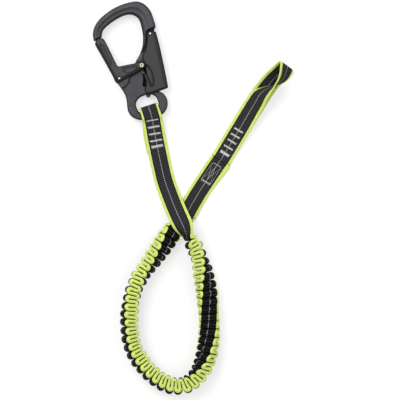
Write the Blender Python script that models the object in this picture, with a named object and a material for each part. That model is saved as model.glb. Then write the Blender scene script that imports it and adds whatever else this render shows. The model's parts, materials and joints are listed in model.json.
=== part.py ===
"""Safety tether: a double-action hook on elastic webbing with a sewn end loop.

The tether lies flat on the floor, +Z up and +Y towards the hook's nose. The hook is drawn in
its own axes, with the middle of its eye at (0, 0) and +Y along the spine, and the webbing's
route is drawn from the middle of the eye too. Sizes are in millimetres and become metres
where a mesh is made. Heights of the hook's layers are counted from its middle plane.
"""

import math

import bpy
import numpy as np
from mathutils import Matrix, Vector

MM = 0.001
HALF_TURN_DEG = 180.0

# Gaps
GAP = 0.3
PIN_CLEARANCE = 0.15

# How far a cutter reaches past what it cuts
CUTTER_REACH = 150.0

# Hook: sheet and forging thicknesses, from the middle plane outwards
PLATE_THICKNESS = 7.4
PALM_SHEET = 1.3
GATE_SHEET = 1.3
RIVET_HEAD = 0.5
RIVET_SEAT_GAP = 0.1
HOOK_LEAN_DEG = 20.0

PLATE_HALF = PLATE_THICKNESS / 2
PALM_INNER = PLATE_HALF + GAP
PALM_OUTER = PALM_INNER + PALM_SHEET
GATE_INNER = PALM_OUTER + GAP
GATE_OUTER = GATE_INNER + GATE_SHEET
HOOK_HALF = GATE_OUTER + RIVET_SEAT_GAP + RIVET_HEAD
HOOK_THICKNESS = 2 * HOOK_HALF
BOSS_HALF = PALM_OUTER

# Hook: pivots and travel
GATE_PIVOT = (-20.8, 40.1)
PALM_PIVOT = (32.2, 78.0)
LOCK_REACH = 31.1
LOCK_REST_DEG = 10.2
GATE_TRAVEL_DEG = 44.0
PALM_TRAVEL_DEG = 8.5

# Hook: pins, rivet and bush
GATE_PIN_RADIUS = 1.6
LEVER_PIN_RADIUS = 1.6
RIVET_RADIUS = 1.5
RIVET_BORE_RADIUS = 0.9
RIVET_HEAD_RADIUS = 2.75
BUSH_RADIUS = 2.2
PIN_SIDES = 20
PIN_STANDS_OUT = 0.3

# Hook: frame
PLATE_EDGE_ROUND = 2.3
BOSS_RADIUS = 11.7
NOSE_CUT_RADIUS = 54.8
EYE_HALF_WIDTH = 13.4
EYE_TOP = 11.2
EYE_BOTTOM = -9.0
EYE_BAR_WIDTH = 8.9
EYE_LIP_ROUND = 2.2
LUG_RADIUS = 2.8
PIN_BOSS_RADIUS = 4.2
LUG_HALF = 2.0

# Hook: levers
PALM_WALL = 1.6
PALM_EDGE_ROUND = 0.6
PALM_WEB_BOTTOM = 13.5
COVER_INSET = 0.15
CHANNEL_CLEARANCE = 0.25
GATE_WALL = 1.5
GATE_ARM_RADIUS = 4.2
GATE_EDGE_ROUND = 0.5
RECESS_DEPTH = 0.45

# Hook: springs
GATE_SPRING_WIRE = 0.4
GATE_SPRING_RADIUS = 3.3
GATE_SPRING_TURNS = 3
GATE_SPRING_PITCH = 1.25
GATE_SPRING_LEG = 19.0
LEVER_SPRING_WIRE = 0.4
LEVER_SPRING_RADIUS = 2.2
LEVER_SPRING_TURNS = 7
LEVER_SPRING_HEIGHT = 26.0
LEVER_SPRING_POCKET = 7.0

# Webbing
WEBBING_WIDTH = 25.0
WEBBING_THICKNESS = 2.0
EYE_FOLD_WIDTH = 22.8
STRAP_STEP = 4.5
SWELL_LENGTH = 12.0
STRAP_END_THICKNESS = 4.0

# Gathers
GATHER_COUNT = 48
SECTIONS_PER_GATHER = 4
GATHER_SIDES = 10
GATHER_WIDTH = 24.0
EDGE_SWAY = 4.6
PUFF_BASE = 3.2
PUFF_HEIGHT = 7.4
COLLAR_HALF = 2.4
RAMP_GATHERS = 3.0
BORE_HALF_WIDTH = 7.5
BORE_HALF_HEIGHT = 1.7
ELASTIC_MARGIN = 0.4
ELASTIC_SETBACK = 1.0

# The tether's route on the floor, from the middle of the eye
HOOK_STRAP_LENGTH = 163.0
ROUTE = [
    (1.0, -1.2), (5.4, -15.1), (7.7, -27.2), (10.0, -41.0), (12.6, -54.1), (16.4, -72.4),
    (21.0, -91.8), (27.5, -110.0), (36.8, -132.2), (45.8, -150.2), (54.2, -166.4),
    (59.9, -177.6), (64.7, -192.1), (68.2, -207.5), (71.5, -224.3), (73.1, -243.8),
    (74.2, -263.0), (73.4, -282.8), (70.0, -303.8), (62.0, -322.1), (49.7, -334.1),
    (35.5, -337.7), (20.5, -333.8), (4.3, -322.1), (-8.0, -307.6), (-17.5, -289.6),
    (-21.2, -268.6), (-20.9, -247.3), (-17.2, -226.6), (-8.3, -206.3), (4.7, -188.4),
    (17.0, -171.1), (29.0, -154.4), (42.2, -139.7), (46.9, -131.8),
]

# The hook strap: distance from the fold in the eye, height and roll, from the tail's end
TAIL_END = 57.0
STRAP_FOLD = [
    (TAIL_END, 1.15, 0), (52.0, 1.45, 0), (44.0, 2.6, 0), (34.0, 4.5, 0), (26.0, 5.8, 0),
    (20.5, 6.25, 0), (18.8, 5.6, 0), (17.4, 4.0, 0), (15.5, 2.75, 0), (12.5, 2.4, 0),
    (7.5, 2.4, 0), (4.0, 3.2, 0), (1.7, 5.1, 0), (1.0, 7.5, 0), (1.7, 9.9, 0),
    (4.0, 11.8, 0), (7.5, 12.6, 0), (12.5, 12.6, 0), (15.5, 12.25, 0), (17.4, 11.0, 0),
    (18.8, 9.4, 0), (20.5, 8.75, 0), (26.0, 8.3, 0), (34.0, 7.0, 0), (44.0, 5.1, 0),
    (54.0, 3.8, 0), (61.0, 3.1, 0), (68.0, 1.9, 0), (76.0, 1.2, 0), (86.0, 1.1, 0),
    (96.0, 1.3, 0), (106.0, 2.2, 0), (116.0, 4.9, 0), (127.0, 10.2, 0), (137.0, 15.6, 2),
    (147.0, 18.9, 11), (155.0, 19.2, 31), (HOOK_STRAP_LENGTH, 17.0, 58),
]

# The gathers: share of their length, height and roll
GATHER_POSE = [
    (0.0, 16.8, 59), (0.025, 14.8, 76), (0.06, 13.3, 95), (0.1, 13.1, 118), (0.15, 13.3, 150),
    (0.21, 12.0, 174), (0.27, 12.0, 186), (0.32, 13.3, 212), (0.38, 13.2, 246),
    (0.45, 12.6, 268), (0.52, 12.6, 276), (0.6, 13.0, 286), (0.68, 13.2, 292),
    (0.76, 13.0, 280), (0.83, 12.7, 262), (0.89, 12.9, 236), (0.93, 10.0, 211),
    (0.965, 6.3, 195), (0.985, 4.2, 187), (1.0, 3.3, 183),
]

# The loop strap, from the thick bar-tack: along, to the right, height and tilt
LOOP_TACK = (93.0, -59.0)
LOOP_HEADING_DEG = 58.8
LOOP_PATH = [
    (-77.0, -2.1, 2.2, 0), (-67.0, -2.3, 1.4, 0), (-55.0, -2.4, 1.1, 0),
    (-40.0, -1.9, 1.1, 0), (-20.0, -1.0, 1.1, 0), (0.0, 0.0, 1.1, 0), (12.0, 0.0, 1.15, 0),
    (24.0, 0.0, 1.8, 3), (42.0, 0.0, 3.4, 9),
    (58.0, 0.0, 5.2, 18), (72.0, 0.4, 6.6, 25), (90.0, 1.2, 7.5, 30), (107.0, 3.8, 7.6, 31),
    (118.0, 6.2, 7.8, 32), (124.5, 7.6, 8.8, 34), (127.6, 8.6, 11.2, 37),
    (126.8, 9.8, 14.0, 41), (121.5, 11.4, 15.2, 48), (114.5, 12.6, 15.6, 60),
    (104.0, 10.0, 17.0, 77), (95.0, 5.6, 17.0, 69), (87.5, 2.2, 16.8, 60),
    (80.0, -0.4, 15.6, 51), (70.0, -1.2, 13.4, 41), (57.0, -1.0, 10.8, 31),
    (41.0, -0.4, 7.8, 18), (24.0, 0.0, 5.2, 7), (11.0, 0.0, 3.8, 1), (0.0, 0.0, 3.45, 0),
    (-8.8, 0.0, 3.4, 0),
]

# Colours, roughness and metallic value of each material
FINISHES = {
    "anodised": ((0.095, 0.095, 0.105), 0.42, 0.85),
    "lever_anodised": ((0.085, 0.085, 0.095), 0.38, 0.85),
    "steel": ((0.72, 0.72, 0.70), 0.25, 1.0),
    "brass": ((0.78, 0.72, 0.52), 0.3, 1.0),
    "spring": ((0.5, 0.5, 0.5), 0.35, 1.0),
    "webbing": ((0.02, 0.02, 0.022), 0.85, 0.0),
    "gathers": ((0.55, 0.85, 0.08), 0.8, 0.0),
    "elastic": ((0.75, 0.75, 0.7), 0.9, 0.0),
}


def finish(name):
    """Return the Principled BSDF material of that name, made once."""
    if name in bpy.data.materials:
        return bpy.data.materials[name]
    colour, roughness, metallic = FINISHES[name]
    material = bpy.data.materials.new(name)
    material.use_nodes = True
    shader = material.node_tree.nodes["Principled BSDF"]
    shader.inputs["Base Color"].default_value = (*colour, 1.0)
    shader.inputs["Roughness"].default_value = roughness
    shader.inputs["Metallic"].default_value = metallic
    return material


def empty(name, parent=None, at=(0, 0, 0), turn_deg=0.0):
    """Add an empty that carries pieces, turned about Z."""
    holder = bpy.data.objects.new(name, None)
    bpy.context.scene.collection.objects.link(holder)
    holder.parent = parent
    holder.location = Vector(at) * MM
    holder.rotation_euler.z = math.radians(turn_deg)
    return holder


def piece(name, vertices, faces, parent, material=None, at=(0, 0, 0), smooth_deg=None):
    """Make one object from millimetre points given in its parent's axes, with its origin at a point."""
    origin = np.array(at, float)
    mesh = bpy.data.meshes.new(name)
    mesh.from_pydata([tuple((np.array(v) - origin) * MM) for v in vertices], [], faces)
    mesh.update()
    thing = bpy.data.objects.new(name, mesh)
    bpy.context.scene.collection.objects.link(thing)
    thing.parent = parent
    thing.location = Vector(at) * MM
    if material:
        mesh.materials.append(finish(material))
    if smooth_deg is not None:
        mesh.shade_smooth()
        mesh.set_sharp_from_angle(angle=math.radians(smooth_deg))
    return thing


def as_tool(thing):
    """Mark an object as a cutter or a shape that is only joined to another."""
    thing.hide_render = True
    thing.display_type = "WIRE"
    return thing


def combine(target, tool, operation):
    """Cut a tool from the target, or join it on."""
    step = target.modifiers.new(tool.name, "BOOLEAN")
    step.operation = operation
    step.object = as_tool(tool)


def cut(target, *tools):
    """Cut tools from the target."""
    for tool in tools:
        combine(target, tool, "DIFFERENCE")


def join(target, *tools):
    """Join shapes to the target."""
    for tool in tools:
        combine(target, tool, "UNION")


def round_edges(thing, width, segments=2, angle_deg=50.0):
    """Round the sharp edges of a shape that isn't cut yet."""
    step = thing.modifiers.new("rounding", "BEVEL")
    step.width = width * MM
    step.segments = segments
    step.limit_method = "ANGLE"
    step.angle_limit = math.radians(angle_deg)
    return step


def circle_point(centre, radius, angle_deg):
    """Return the point of a circle at an angle."""
    angle = math.radians(angle_deg)
    return (centre[0] + radius * math.cos(angle), centre[1] + radius * math.sin(angle))


def arc(centre, radius, start_deg, stop_deg, steps):
    """Return the points of an arc, both ends included."""
    share = np.linspace(0.0, 1.0, steps + 1)
    return [circle_point(centre, radius, start_deg + s * (stop_deg - start_deg)) for s in share]


def turned_point(point, centre, angle_deg):
    """Turn a point about a centre."""
    angle = math.radians(angle_deg)
    dx, dy = point[0] - centre[0], point[1] - centre[1]
    return (
        centre[0] + dx * math.cos(angle) - dy * math.sin(angle),
        centre[1] + dx * math.sin(angle) + dy * math.cos(angle),
    )


def curve_through(points, positions, spots):
    """Return a smooth curve through points, read at spots of the same measure as positions."""
    points = np.array(points, float)
    positions = np.array(positions, float)
    slopes = np.gradient(points, positions, axis=0)
    spots = np.clip(np.array(spots, float), positions[0], positions[-1])
    span = np.clip(np.searchsorted(positions, spots, side="right") - 1, 0, len(positions) - 2)
    step = (positions[span + 1] - positions[span])[:, None]
    t = ((spots - positions[span])[:, None]) / step
    start, stop = points[span], points[span + 1]
    return (
        (2 * t**3 - 3 * t**2 + 1) * start
        + (t**3 - 2 * t**2 + t) * step * slopes[span]
        + (3 * t**2 - 2 * t**3) * stop
        + (t**3 - t**2) * step * slopes[span + 1]
    )


def distances(points):
    """Return how far along a line each of its points lies."""
    steps = np.linalg.norm(np.diff(np.array(points, float), axis=0), axis=1)
    return np.concatenate([[0.0], np.cumsum(steps)])


def smooth(points, per_span=3):
    """Return a rounded stretch of outline through a few points."""
    along = distances(points)
    spots = np.concatenate(
        [np.linspace(a, b, per_span, endpoint=False) for a, b in zip(along[:-1], along[1:])]
    )
    return [tuple(p) for p in curve_through(points, along, np.append(spots, along[-1]))]


def prism(name, outline, low, high, parent, material=None, at=(0, 0)):
    """Raise a closed outline from one height to another, counted from the hook's middle plane."""
    area = sum(a[0] * b[1] - b[0] * a[1] for a, b in zip(outline, outline[1:] + outline[:1]))
    if area < 0:
        outline = outline[::-1]
    count = len(outline)
    points = [(x, y, HOOK_HALF + low) for x, y in outline]
    points += [(x, y, HOOK_HALF + high) for x, y in outline]
    faces = [tuple(range(count - 1, -1, -1)), tuple(range(count, 2 * count))]
    faces += [(i, (i + 1) % count, count + (i + 1) % count, count + i) for i in range(count)]
    return piece(name, points, faces, parent, material, (at[0], at[1], HOOK_HALF))


def loft(rings, capped=True, halved=False):
    """Return the points and faces of a skin over closed rings of points, its fours halved if asked."""
    rings = [list(map(tuple, ring)) for ring in rings]
    count = len(rings[0])
    points = [p for ring in rings for p in ring]
    faces = []
    for k in range(len(rings) - 1):
        low, high = k * count, (k + 1) * count
        for i in range(count):
            j = (i + 1) % count
            if halved:
                faces += [(low + i, low + j, high + j), (low + i, high + j, high + i)]
            else:
                faces.append((low + i, low + j, high + j, high + i))
    if capped:
        last = (len(rings) - 1) * count
        faces.append(tuple(range(count - 1, -1, -1)))
        faces.append(tuple(last + i for i in range(count)))
    return points, faces


def turned(name, profile, centre, parent, material=None, hollow=False, sides=PIN_SIDES):
    """Turn a profile of (radius, height) about an upright axis, bottom to top on the outside."""
    rings = []
    for radius, height in profile:
        ring = arc(centre, radius, 0, 360, sides)[:-1]
        rings.append([(x, y, HOOK_HALF + height) for x, y in ring])
    points, faces = loft(rings, capped=not hollow)
    if hollow:
        last = (len(rings) - 1) * sides
        faces += [(last + i, last + (i + 1) % sides, (i + 1) % sides, i) for i in range(sides)]
    return piece(name, points, faces, parent, material, (*centre, HOOK_HALF), 40)


def drum(name, centre, radius, half, parent, sides=PIN_SIDES):
    """Make a plain round cutter or boss through the middle plane."""
    return turned(name, [(radius, -half), (radius, half)], centre, parent, sides=sides)


def pin_profile(radius, half, chamfer=0.35):
    """Return the profile of a plain pin with broken edges."""
    low, high = [(radius - chamfer, -half), (radius, chamfer - half)], [(radius, half - chamfer)]
    return low + high + [(radius - chamfer, half)]


def rivet_place(gate_deg):
    """Return where the locking rivet is when the gate has opened by an angle."""
    return circle_point(GATE_PIVOT, LOCK_REACH, LOCK_REST_DEG - gate_deg)


LOCK_REST = rivet_place(0.0)


# Frame

# The crown and spine as pairs of points, on the outer edge and on the inner edge
CROWN_STATIONS = [
    (circle_point(GATE_PIVOT, NOSE_CUT_RADIUS, 104.1), circle_point(GATE_PIVOT, NOSE_CUT_RADIUS, 93.1)),
    ((-33.0, 99.4), (-22.2, 98.2)),
    ((-29.9, 105.7), (-19.9, 101.2)),
    ((-25.6, 110.3), (-16.6, 103.4)),
    ((-19.1, 114.7), (-12.7, 105.0)),
    ((-11.0, 118.1), (-7.6, 106.8)),
    ((-0.8, 120.9), (-1.6, 108.3)),
    ((9.0, 122.1), (4.3, 109.3)),
    ((18.2, 122.0), (10.2, 109.7)),
    ((25.3, 121.1), (14.6, 109.2)),
    ((30.8, 119.5), (18.0, 108.1)),
    ((35.4, 116.3), (20.8, 106.4)),
    ((39.1, 111.2), (23.0, 104.1)),
    ((41.6, 104.8), (24.8, 101.0)),
    ((42.2, 98.2), (25.6, 97.0)),
    ((41.9, 91.0), (25.2, 91.0)),
    ((41.5, 85.0), (24.4, 84.5)),
    ((38.6, 81.4), (23.7, 80.8)),
    ((36.6, 77.6), (22.8, 77.4)),
    ((35.9, 72.6), (21.0, 72.6)),
    ((34.3, 66.5), (18.3, 66.8)),
    ((32.4, 61.5), (14.7, 62.0)),
    ((29.0, 56.5), (10.2, 57.4)),
    ((25.0, 52.0), (5.6, 53.6)),
]
# The bar's section: share of its width, offset across it and drop below the face
CROWN_SECTION = [
    (0.0, 0.0, 3.2), (0.0, 0.8, 0.9), (0.0, 2.3, 0.0), (0.46, 0.0, 0.0), (0.6, 0.0, 0.8),
    (0.76, 0.0, 1.2), (0.87, 0.0, 0.8), (1.0, -0.9, 1.7), (1.0, 0.0, 4.0),
]
SPINE_INNER_EDGE = [
    (23.6, 79.5), (21.6, 74.2), (18.6, 67.0), (14.9, 62.1), (10.1, 57.1), (1.4, 50.2),
]
PLATE_TOP_EDGE = [(1.4, 50.2), (-5.0, 46.4), (-12.0, 45.0), (-18.0, 46.6), (-21.8, 46.9)]
PLATE_LEFT_EDGE = [
    (-24.6, 44.8), (-25.7, 40.6), (-25.3, 36.0), (-23.7, 31.2), (-21.9, 24.4), (-21.1, 17.0),
    (-22.5, 9.5), (-24.5, 1.0), (-23.7, -5.2), (-20.6, -10.2), (-15.6, -14.4), (-8.0, -17.2),
    (0.0, -18.0), (7.0, -18.2), (12.4, -17.6), (16.8, -15.8), (20.6, -12.4), (23.2, -8.0),
    (24.5, -3.0), (23.8, 2.6), (21.6, 7.0), (18.4, 10.0), (17.4, 12.8),
]
PLATE_RIGHT_EDGE = [(17.4, 12.8), (24.2, 30.0), (29.3, 47.0), (33.0, 60.0), (35.4, 72.0), (36.2, 80.0)]
# Where the thick spine is cut back to the plate for the palm lever's cheeks
PALM_POCKET = [
    (60.0, 83.2), (31.6, 83.4), (28.4, 82.0), (26.9, 78.5), (25.6, 74.5), (22.2, 68.3),
    (17.3, 62.7), (9.4, 57.9), (3.0, 54.6), (-6.0, 50.0), (-6.0, 20.0), (60.0, 20.0),
]
TONGUE = [(-31.9, 96.0), (-25.2, 97.2), (-25.2, 89.3), (-26.4, 87.9), (-30.2, 87.5), (-31.4, 88.6)]
LUG_PLACE = (4.9, 9.9)


def crown(parent):
    """Loft the thick bar of nose, crown and spine from its pairs of edge points."""
    outer = smooth([pair[0] for pair in CROWN_STATIONS], 2)
    inner = smooth([pair[1] for pair in CROWN_STATIONS], 2)
    rings = []
    for out, ins in zip(outer, inner):
        out, ins = np.array(out), np.array(ins)
        across = (ins - out) / np.linalg.norm(ins - out)
        top = []
        for share, offset, drop in CROWN_SECTION:
            spot = out + share * (ins - out) + offset * across
            top.append((spot[0], spot[1], drop))
        ring = [(x, y, 2 * HOOK_HALF - drop) for x, y, drop in top]
        ring += [(x, y, drop) for x, y, drop in reversed(top)]
        rings.append(ring)
    points, faces = loft(rings)
    return piece("crown_shape", points, faces, parent, "anodised", smooth_deg=35)


def eye_cutter(parent):
    """Make the eye's D-shaped hole, flared at both faces so that its lip is round."""
    middle = (EYE_TOP + EYE_BOTTOM) / 2
    reach = (EYE_TOP - EYE_BOTTOM) / 2
    rings = []
    for height, flare in eye_flare():
        ring = []
        for angle in np.linspace(0, 2 * math.pi, 36, endpoint=False):
            power = 2 / 2.2 if math.sin(angle) > 0 else 2 / 3.2
            x = math.copysign(abs(math.cos(angle)) ** power, math.cos(angle))
            y = math.copysign(abs(math.sin(angle)) ** power, math.sin(angle))
            ring.append(((EYE_HALF_WIDTH + flare) * x, middle + (reach + flare) * y, HOOK_HALF + height))
        rings.append(ring)
    points, faces = loft(rings)
    return piece("eye_cutter", points, faces, parent)


def eye_flare():
    """Return heights through the plate, with how far the eye's lip has opened at each."""
    rows = []
    for angle in (0, 30, 60, 90):
        turn = math.radians(angle)
        height = PLATE_HALF - EYE_LIP_ROUND * (1 - math.sin(turn))
        rows.append((height, EYE_LIP_ROUND * (1 - math.cos(turn))))
    rows.append((PLATE_HALF + 1.0, EYE_LIP_ROUND + 1.0))
    return [(-height, flare) for height, flare in reversed(rows)] + rows


def slot_outline():
    """Return the curved slot that the rivet's bush runs in."""
    half = BUSH_RADIUS + PIN_CLEARANCE
    top, bottom = LOCK_REST_DEG, LOCK_REST_DEG - GATE_TRAVEL_DEG
    outline = arc(GATE_PIVOT, LOCK_REACH + half, bottom, top, 12)
    outline += arc(LOCK_REST, half, top, top + HALF_TURN_DEG, 6)[1:-1]
    outline += arc(GATE_PIVOT, LOCK_REACH - half, top, bottom, 12)
    across = bottom + HALF_TURN_DEG
    outline += arc(rivet_place(GATE_TRAVEL_DEG), half, across, across + HALF_TURN_DEG, 6)[1:-1]
    return outline


def boss_outline():
    """Return the thick boss round the gate pin, flattened where the frame's side runs."""
    return arc(GATE_PIVOT, BOSS_RADIUS, -100, 93, 20) + [(-25.2, 47.0), (-25.6, 40.0), (-24.6, 34.0)]


def hook_frame(parent):
    """Build the forged frame: plate and eye, crown and spine, boss, tongue, slot, pockets and holes."""
    outline = smooth(SPINE_INNER_EDGE, 2)[:-1] + smooth(PLATE_TOP_EDGE, 2)
    outline += smooth(PLATE_LEFT_EDGE, 2)[:-1] + smooth(PLATE_RIGHT_EDGE, 2)
    frame = prism("hook_frame", outline, -PLATE_HALF, PLATE_HALF, parent, "anodised")
    round_edges(frame, PLATE_EDGE_ROUND, 3)
    bar = crown(parent)
    cheek_room = HOOK_THICKNESS
    cut(bar, prism("pocket_over", PALM_POCKET, PLATE_HALF - 0.4, cheek_room, parent))
    cut(bar, prism("pocket_under", PALM_POCKET, -cheek_room, 0.4 - PLATE_HALF, parent))
    join(frame, bar)
    join(frame, prism("boss_shape", boss_outline(), -BOSS_HALF, BOSS_HALF, parent))
    join(frame, prism("tongue_shape", TONGUE, -BOSS_HALF, BOSS_HALF, parent))
    join(frame, drum("palm_pin_boss", PALM_PIVOT, PIN_BOSS_RADIUS, PLATE_HALF - 0.2, parent))
    cut(frame, eye_cutter(parent))
    join(frame, drum("lug_shape", LUG_PLACE, LUG_RADIUS, LUG_HALF, parent))
    cut(frame, prism("slot_cutter", slot_outline(), -cheek_room, cheek_room, parent))
    cut(frame, drum("gate_pin_hole", GATE_PIVOT, GATE_PIN_RADIUS + PIN_CLEARANCE, cheek_room, parent))
    cut(frame, drum("lever_pin_hole", PALM_PIVOT, LEVER_PIN_RADIUS + PIN_CLEARANCE, cheek_room, parent))
    cut(frame, gate_spring_pocket(parent), lever_spring_pocket(parent))
    frame.data.shade_smooth()
    frame.data.set_sharp_from_angle(angle=math.radians(38))
    return frame


# Springs and their pockets

GATE_SPRING_HALF = GATE_SPRING_PITCH * GATE_SPRING_TURNS / 2


def gate_spring_pocket(parent):
    """Cut the room for the gate spring out of the boss, open towards the gate's back."""
    half = GATE_SPRING_HALF + GATE_SPRING_WIRE + GAP
    radius = GATE_SPRING_RADIUS + GATE_SPRING_WIRE + GAP
    x, y = GATE_PIVOT
    outline = arc(GATE_PIVOT, radius, -180, 60, 16)
    top = y + GATE_SPRING_LEG
    outline += [(x + radius / 3, top), (x - 3 * radius, top), (x - 2 * radius, y + radius)]
    return prism("gate_spring_room", outline, -half, half, parent)


def lever_spring_line():
    """Return where the lever spring starts in the frame's edge and where it meets the palm lever."""
    along = [p[1] for p in PLATE_RIGHT_EDGE]
    edge = np.interp(LEVER_SPRING_HEIGHT, along, [p[0] for p in PLATE_RIGHT_EDGE])
    outer = np.interp(LEVER_SPRING_HEIGHT, [p[1] for p in PALM_OUTER_EDGE[::-1]],
                      [p[0] for p in PALM_OUTER_EDGE[::-1]])
    return edge - LEVER_SPRING_POCKET + GAP, outer - PALM_WALL - GAP


def lever_spring_pocket(parent):
    """Cut the blind round pocket that holds the lever spring in the frame's edge."""
    start, stop = lever_spring_line()
    radius = LEVER_SPRING_RADIUS + LEVER_SPRING_WIRE + GAP
    rings = []
    for x in (start - GAP, stop):
        ring = arc((0, 0), radius, 0, 360, 16)[:-1]
        rings.append([(x, LEVER_SPRING_HEIGHT + a, HOOK_HALF + b) for a, b in ring])
    points, faces = loft(rings)
    return piece("lever_spring_room", points, faces, parent)


def wire(name, points, radius, parent, material, at):
    """Sweep a round wire through points."""
    curve = bpy.data.curves.new(name, "CURVE")
    curve.dimensions = "3D"
    curve.bevel_depth = radius * MM
    curve.bevel_resolution = 1
    curve.use_fill_caps = True
    line = curve.splines.new("POLY")
    line.points.add(len(points) - 1)
    for spot, point in zip(line.points, points):
        spot.co = (*((np.array(point) - np.array(at)) * MM), 1.0)
    curve.materials.append(finish(material))
    thing = bpy.data.objects.new(name, curve)
    bpy.context.scene.collection.objects.link(thing)
    thing.parent = parent
    thing.location = Vector(at) * MM
    return thing


def gate_spring(parent):
    """Wind the torsion spring round the gate pin, one leg on the gate's back and one on the frame."""
    x, y = GATE_PIVOT
    turns = GATE_SPRING_TURNS
    top, bottom = HOOK_HALF + GATE_SPRING_HALF, HOOK_HALF - GATE_SPRING_HALF
    out = GATE_SPRING_RADIUS
    points = [(x - 1.8 * out, y + GATE_SPRING_LEG, top), (x - 1.4 * out, y + GATE_SPRING_LEG / 2, top)]
    for angle in np.linspace(180.0, 180.0 - 360.0 * turns, 9 * turns + 1):
        spot = circle_point(GATE_PIVOT, GATE_SPRING_RADIUS, angle)
        share = (180.0 - angle) / (360.0 * turns)
        points.append((*spot, HOOK_HALF + GATE_SPRING_HALF * (1 - 2 * share)))
    points.append((x - out, y + out, bottom))
    return wire("gate_spring", points, GATE_SPRING_WIRE, parent, "spring", (x, y, HOOK_HALF))


def lever_spring(parent):
    """Wind the compression spring between the frame's edge and the palm lever."""
    start, stop = lever_spring_line()
    low, high = start + LEVER_SPRING_WIRE, stop - LEVER_SPRING_WIRE
    turns = LEVER_SPRING_TURNS
    points = []
    for share in np.linspace(0.0, 1.0, 9 * turns + 1):
        angle = 360.0 * turns * share
        a, b = circle_point((0, 0), LEVER_SPRING_RADIUS, angle)
        points.append((low + share * (high - low), LEVER_SPRING_HEIGHT + a, HOOK_HALF + b))
    return wire("lever_spring", points, LEVER_SPRING_WIRE, parent, "spring", points[0])


# Palm lever

PALM_OUTER_EDGE = [
    (39.3, 77.4), (39.0, 72.0), (37.9, 60.1), (36.1, 47.0), (33.7, 30.0), (30.7, 11.4),
]
PALM_HEEL = [(29.4, 10.3)]
PALM_LOBE = [(9.0, 10.0), (6.6, 10.7), (4.4, 12.4), (3.5, 14.9), (4.0, 17.4), (6.3, 20.6)]
PALM_SHOULDER = [(20.4, 60.6), (24.2, 66.9), (27.4, 73.6), (28.6, 78.8)]
# The locking finger's back and the cheek above the channel, from the rivet at rest
FINGER_BACK = [(-1.6, -20.7), (-1.3, -14.0), (-1.6, -7.6), (-1.5, -4.6)]
CHANNEL_TOP = [(4.2, 1.9), (4.4, 8.8)]
PALM_HEAD = [(29.2, 80.3), (30.6, 80.8), (38.6, 78.4)]
# A wider finger on the underside, which keeps dirt and light out of the frame's slot
SLOT_COVER = [
    (9.3, 16.0), (6.0, 16.0), (2.6, 18.4), (1.5, 22.4), (3.1, 26.0), (5.2, 30.6), (6.4, 35.2),
    (7.4, 37.2), (9.3, 37.2),
]


def rivet_in_palm(share, squeeze_share):
    """Return the rivet's place in the palm lever's own axes, at shares of both travels."""
    spot = rivet_place(GATE_TRAVEL_DEG * share)
    return turned_point(spot, PALM_PIVOT, PALM_TRAVEL_DEG * squeeze_share)


def offset_line(points, distance):
    """Move a line sideways, to the left of its direction for a positive distance."""
    points = np.array(points, float)
    along = np.gradient(points, axis=0)
    along /= np.linalg.norm(along, axis=1)[:, None]
    return [tuple(p) for p in points + distance * np.stack([-along[:, 1], along[:, 0]], axis=1)]


def from_rivet(offsets):
    """Return places given from the locking rivet at rest."""
    return [(LOCK_REST[0] + x, LOCK_REST[1] + y) for x, y in offsets]


def palm_outline():
    """Return the cheek: outer edge, foot, lobe, locking finger, the rivet's channel and the shoulder."""
    shares = np.linspace(0.0, 1.0, 9)
    together = [rivet_in_palm(s, s) for s in shares]
    squeezed = [rivet_in_palm(s, 1.0) for s in shares]
    half = RIVET_RADIUS + CHANNEL_CLEARANCE
    outline = smooth(PALM_OUTER_EDGE, 2) + PALM_HEEL + smooth(PALM_LOBE + from_rivet(FINGER_BACK), 2)
    outline += offset_line(together, -half)[1:]
    outline += arc(squeezed[-1], half, 190, 350, 5) + offset_line(squeezed, half)[::-1]
    outline += arc(squeezed[0], half, 40, 105, 3)
    outline += smooth(from_rivet(CHANNEL_TOP) + PALM_SHOULDER, 2) + PALM_HEAD
    return outline


def palm_room_outline():
    """Return the room between the palm lever's cheeks, which leaves the web along the outer edge."""
    web = [(x - PALM_WALL, y) for x, y in smooth(PALM_OUTER_EDGE, 2) if y > PALM_WEB_BOTTOM]
    over, under = (web[0][0], CUTTER_REACH), (web[-1][0], PALM_WEB_BOTTOM)
    return [over] + web + [
        under, (CUTTER_REACH, PALM_WEB_BOTTOM), (CUTTER_REACH, -CUTTER_REACH),
        (-CUTTER_REACH, -CUTTER_REACH), (-CUTTER_REACH, CUTTER_REACH),
    ]


def palm_lever(parent):
    """Build the channel-shaped lever: two cheeks joined by a web along the outer edge."""
    axis = empty("palm_axis", parent, (*PALM_PIVOT, 0))
    outer = PALM_OUTER
    lever = prism("palm_lever", palm_outline(), -outer, outer, parent, "lever_anodised", PALM_PIVOT)
    round_edges(lever, PALM_EDGE_ROUND, 2, 60)
    cut(lever, prism("palm_room", palm_room_outline(), -PALM_INNER, PALM_INNER, parent))
    cut(lever, drum("palm_pin_hole", PALM_PIVOT, LEVER_PIN_RADIUS + PIN_CLEARANCE, HOOK_HALF, parent))
    join(lever, prism("slot_cover", SLOT_COVER, COVER_INSET - outer, -PALM_INNER - COVER_INSET, parent))
    return axis, lever


# Gate lever

# Its edges as a place across and a share of the reach to the nose
GATE_BACK = [(-34.1, 0.882), (-33.8, 0.801), (-32.7, 0.703), (-30.6, 0.473), (-28.8, 0.268), (-27.5, 0.108)]
GATE_FRONT = [(-18.3, 0.301), (-19.6, 0.549), (-20.8, 0.765)]
GATE_HEEL = [(-27.0, 41.5), (-26.8, 38.4), (-25.4, 36.3), (-22.8, 35.7)]
GATE_ARM_TOP = [(1.4, 50.9), (-8.0, 52.4), (-15.4, 53.4), (-17.4, 54.4)]
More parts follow.
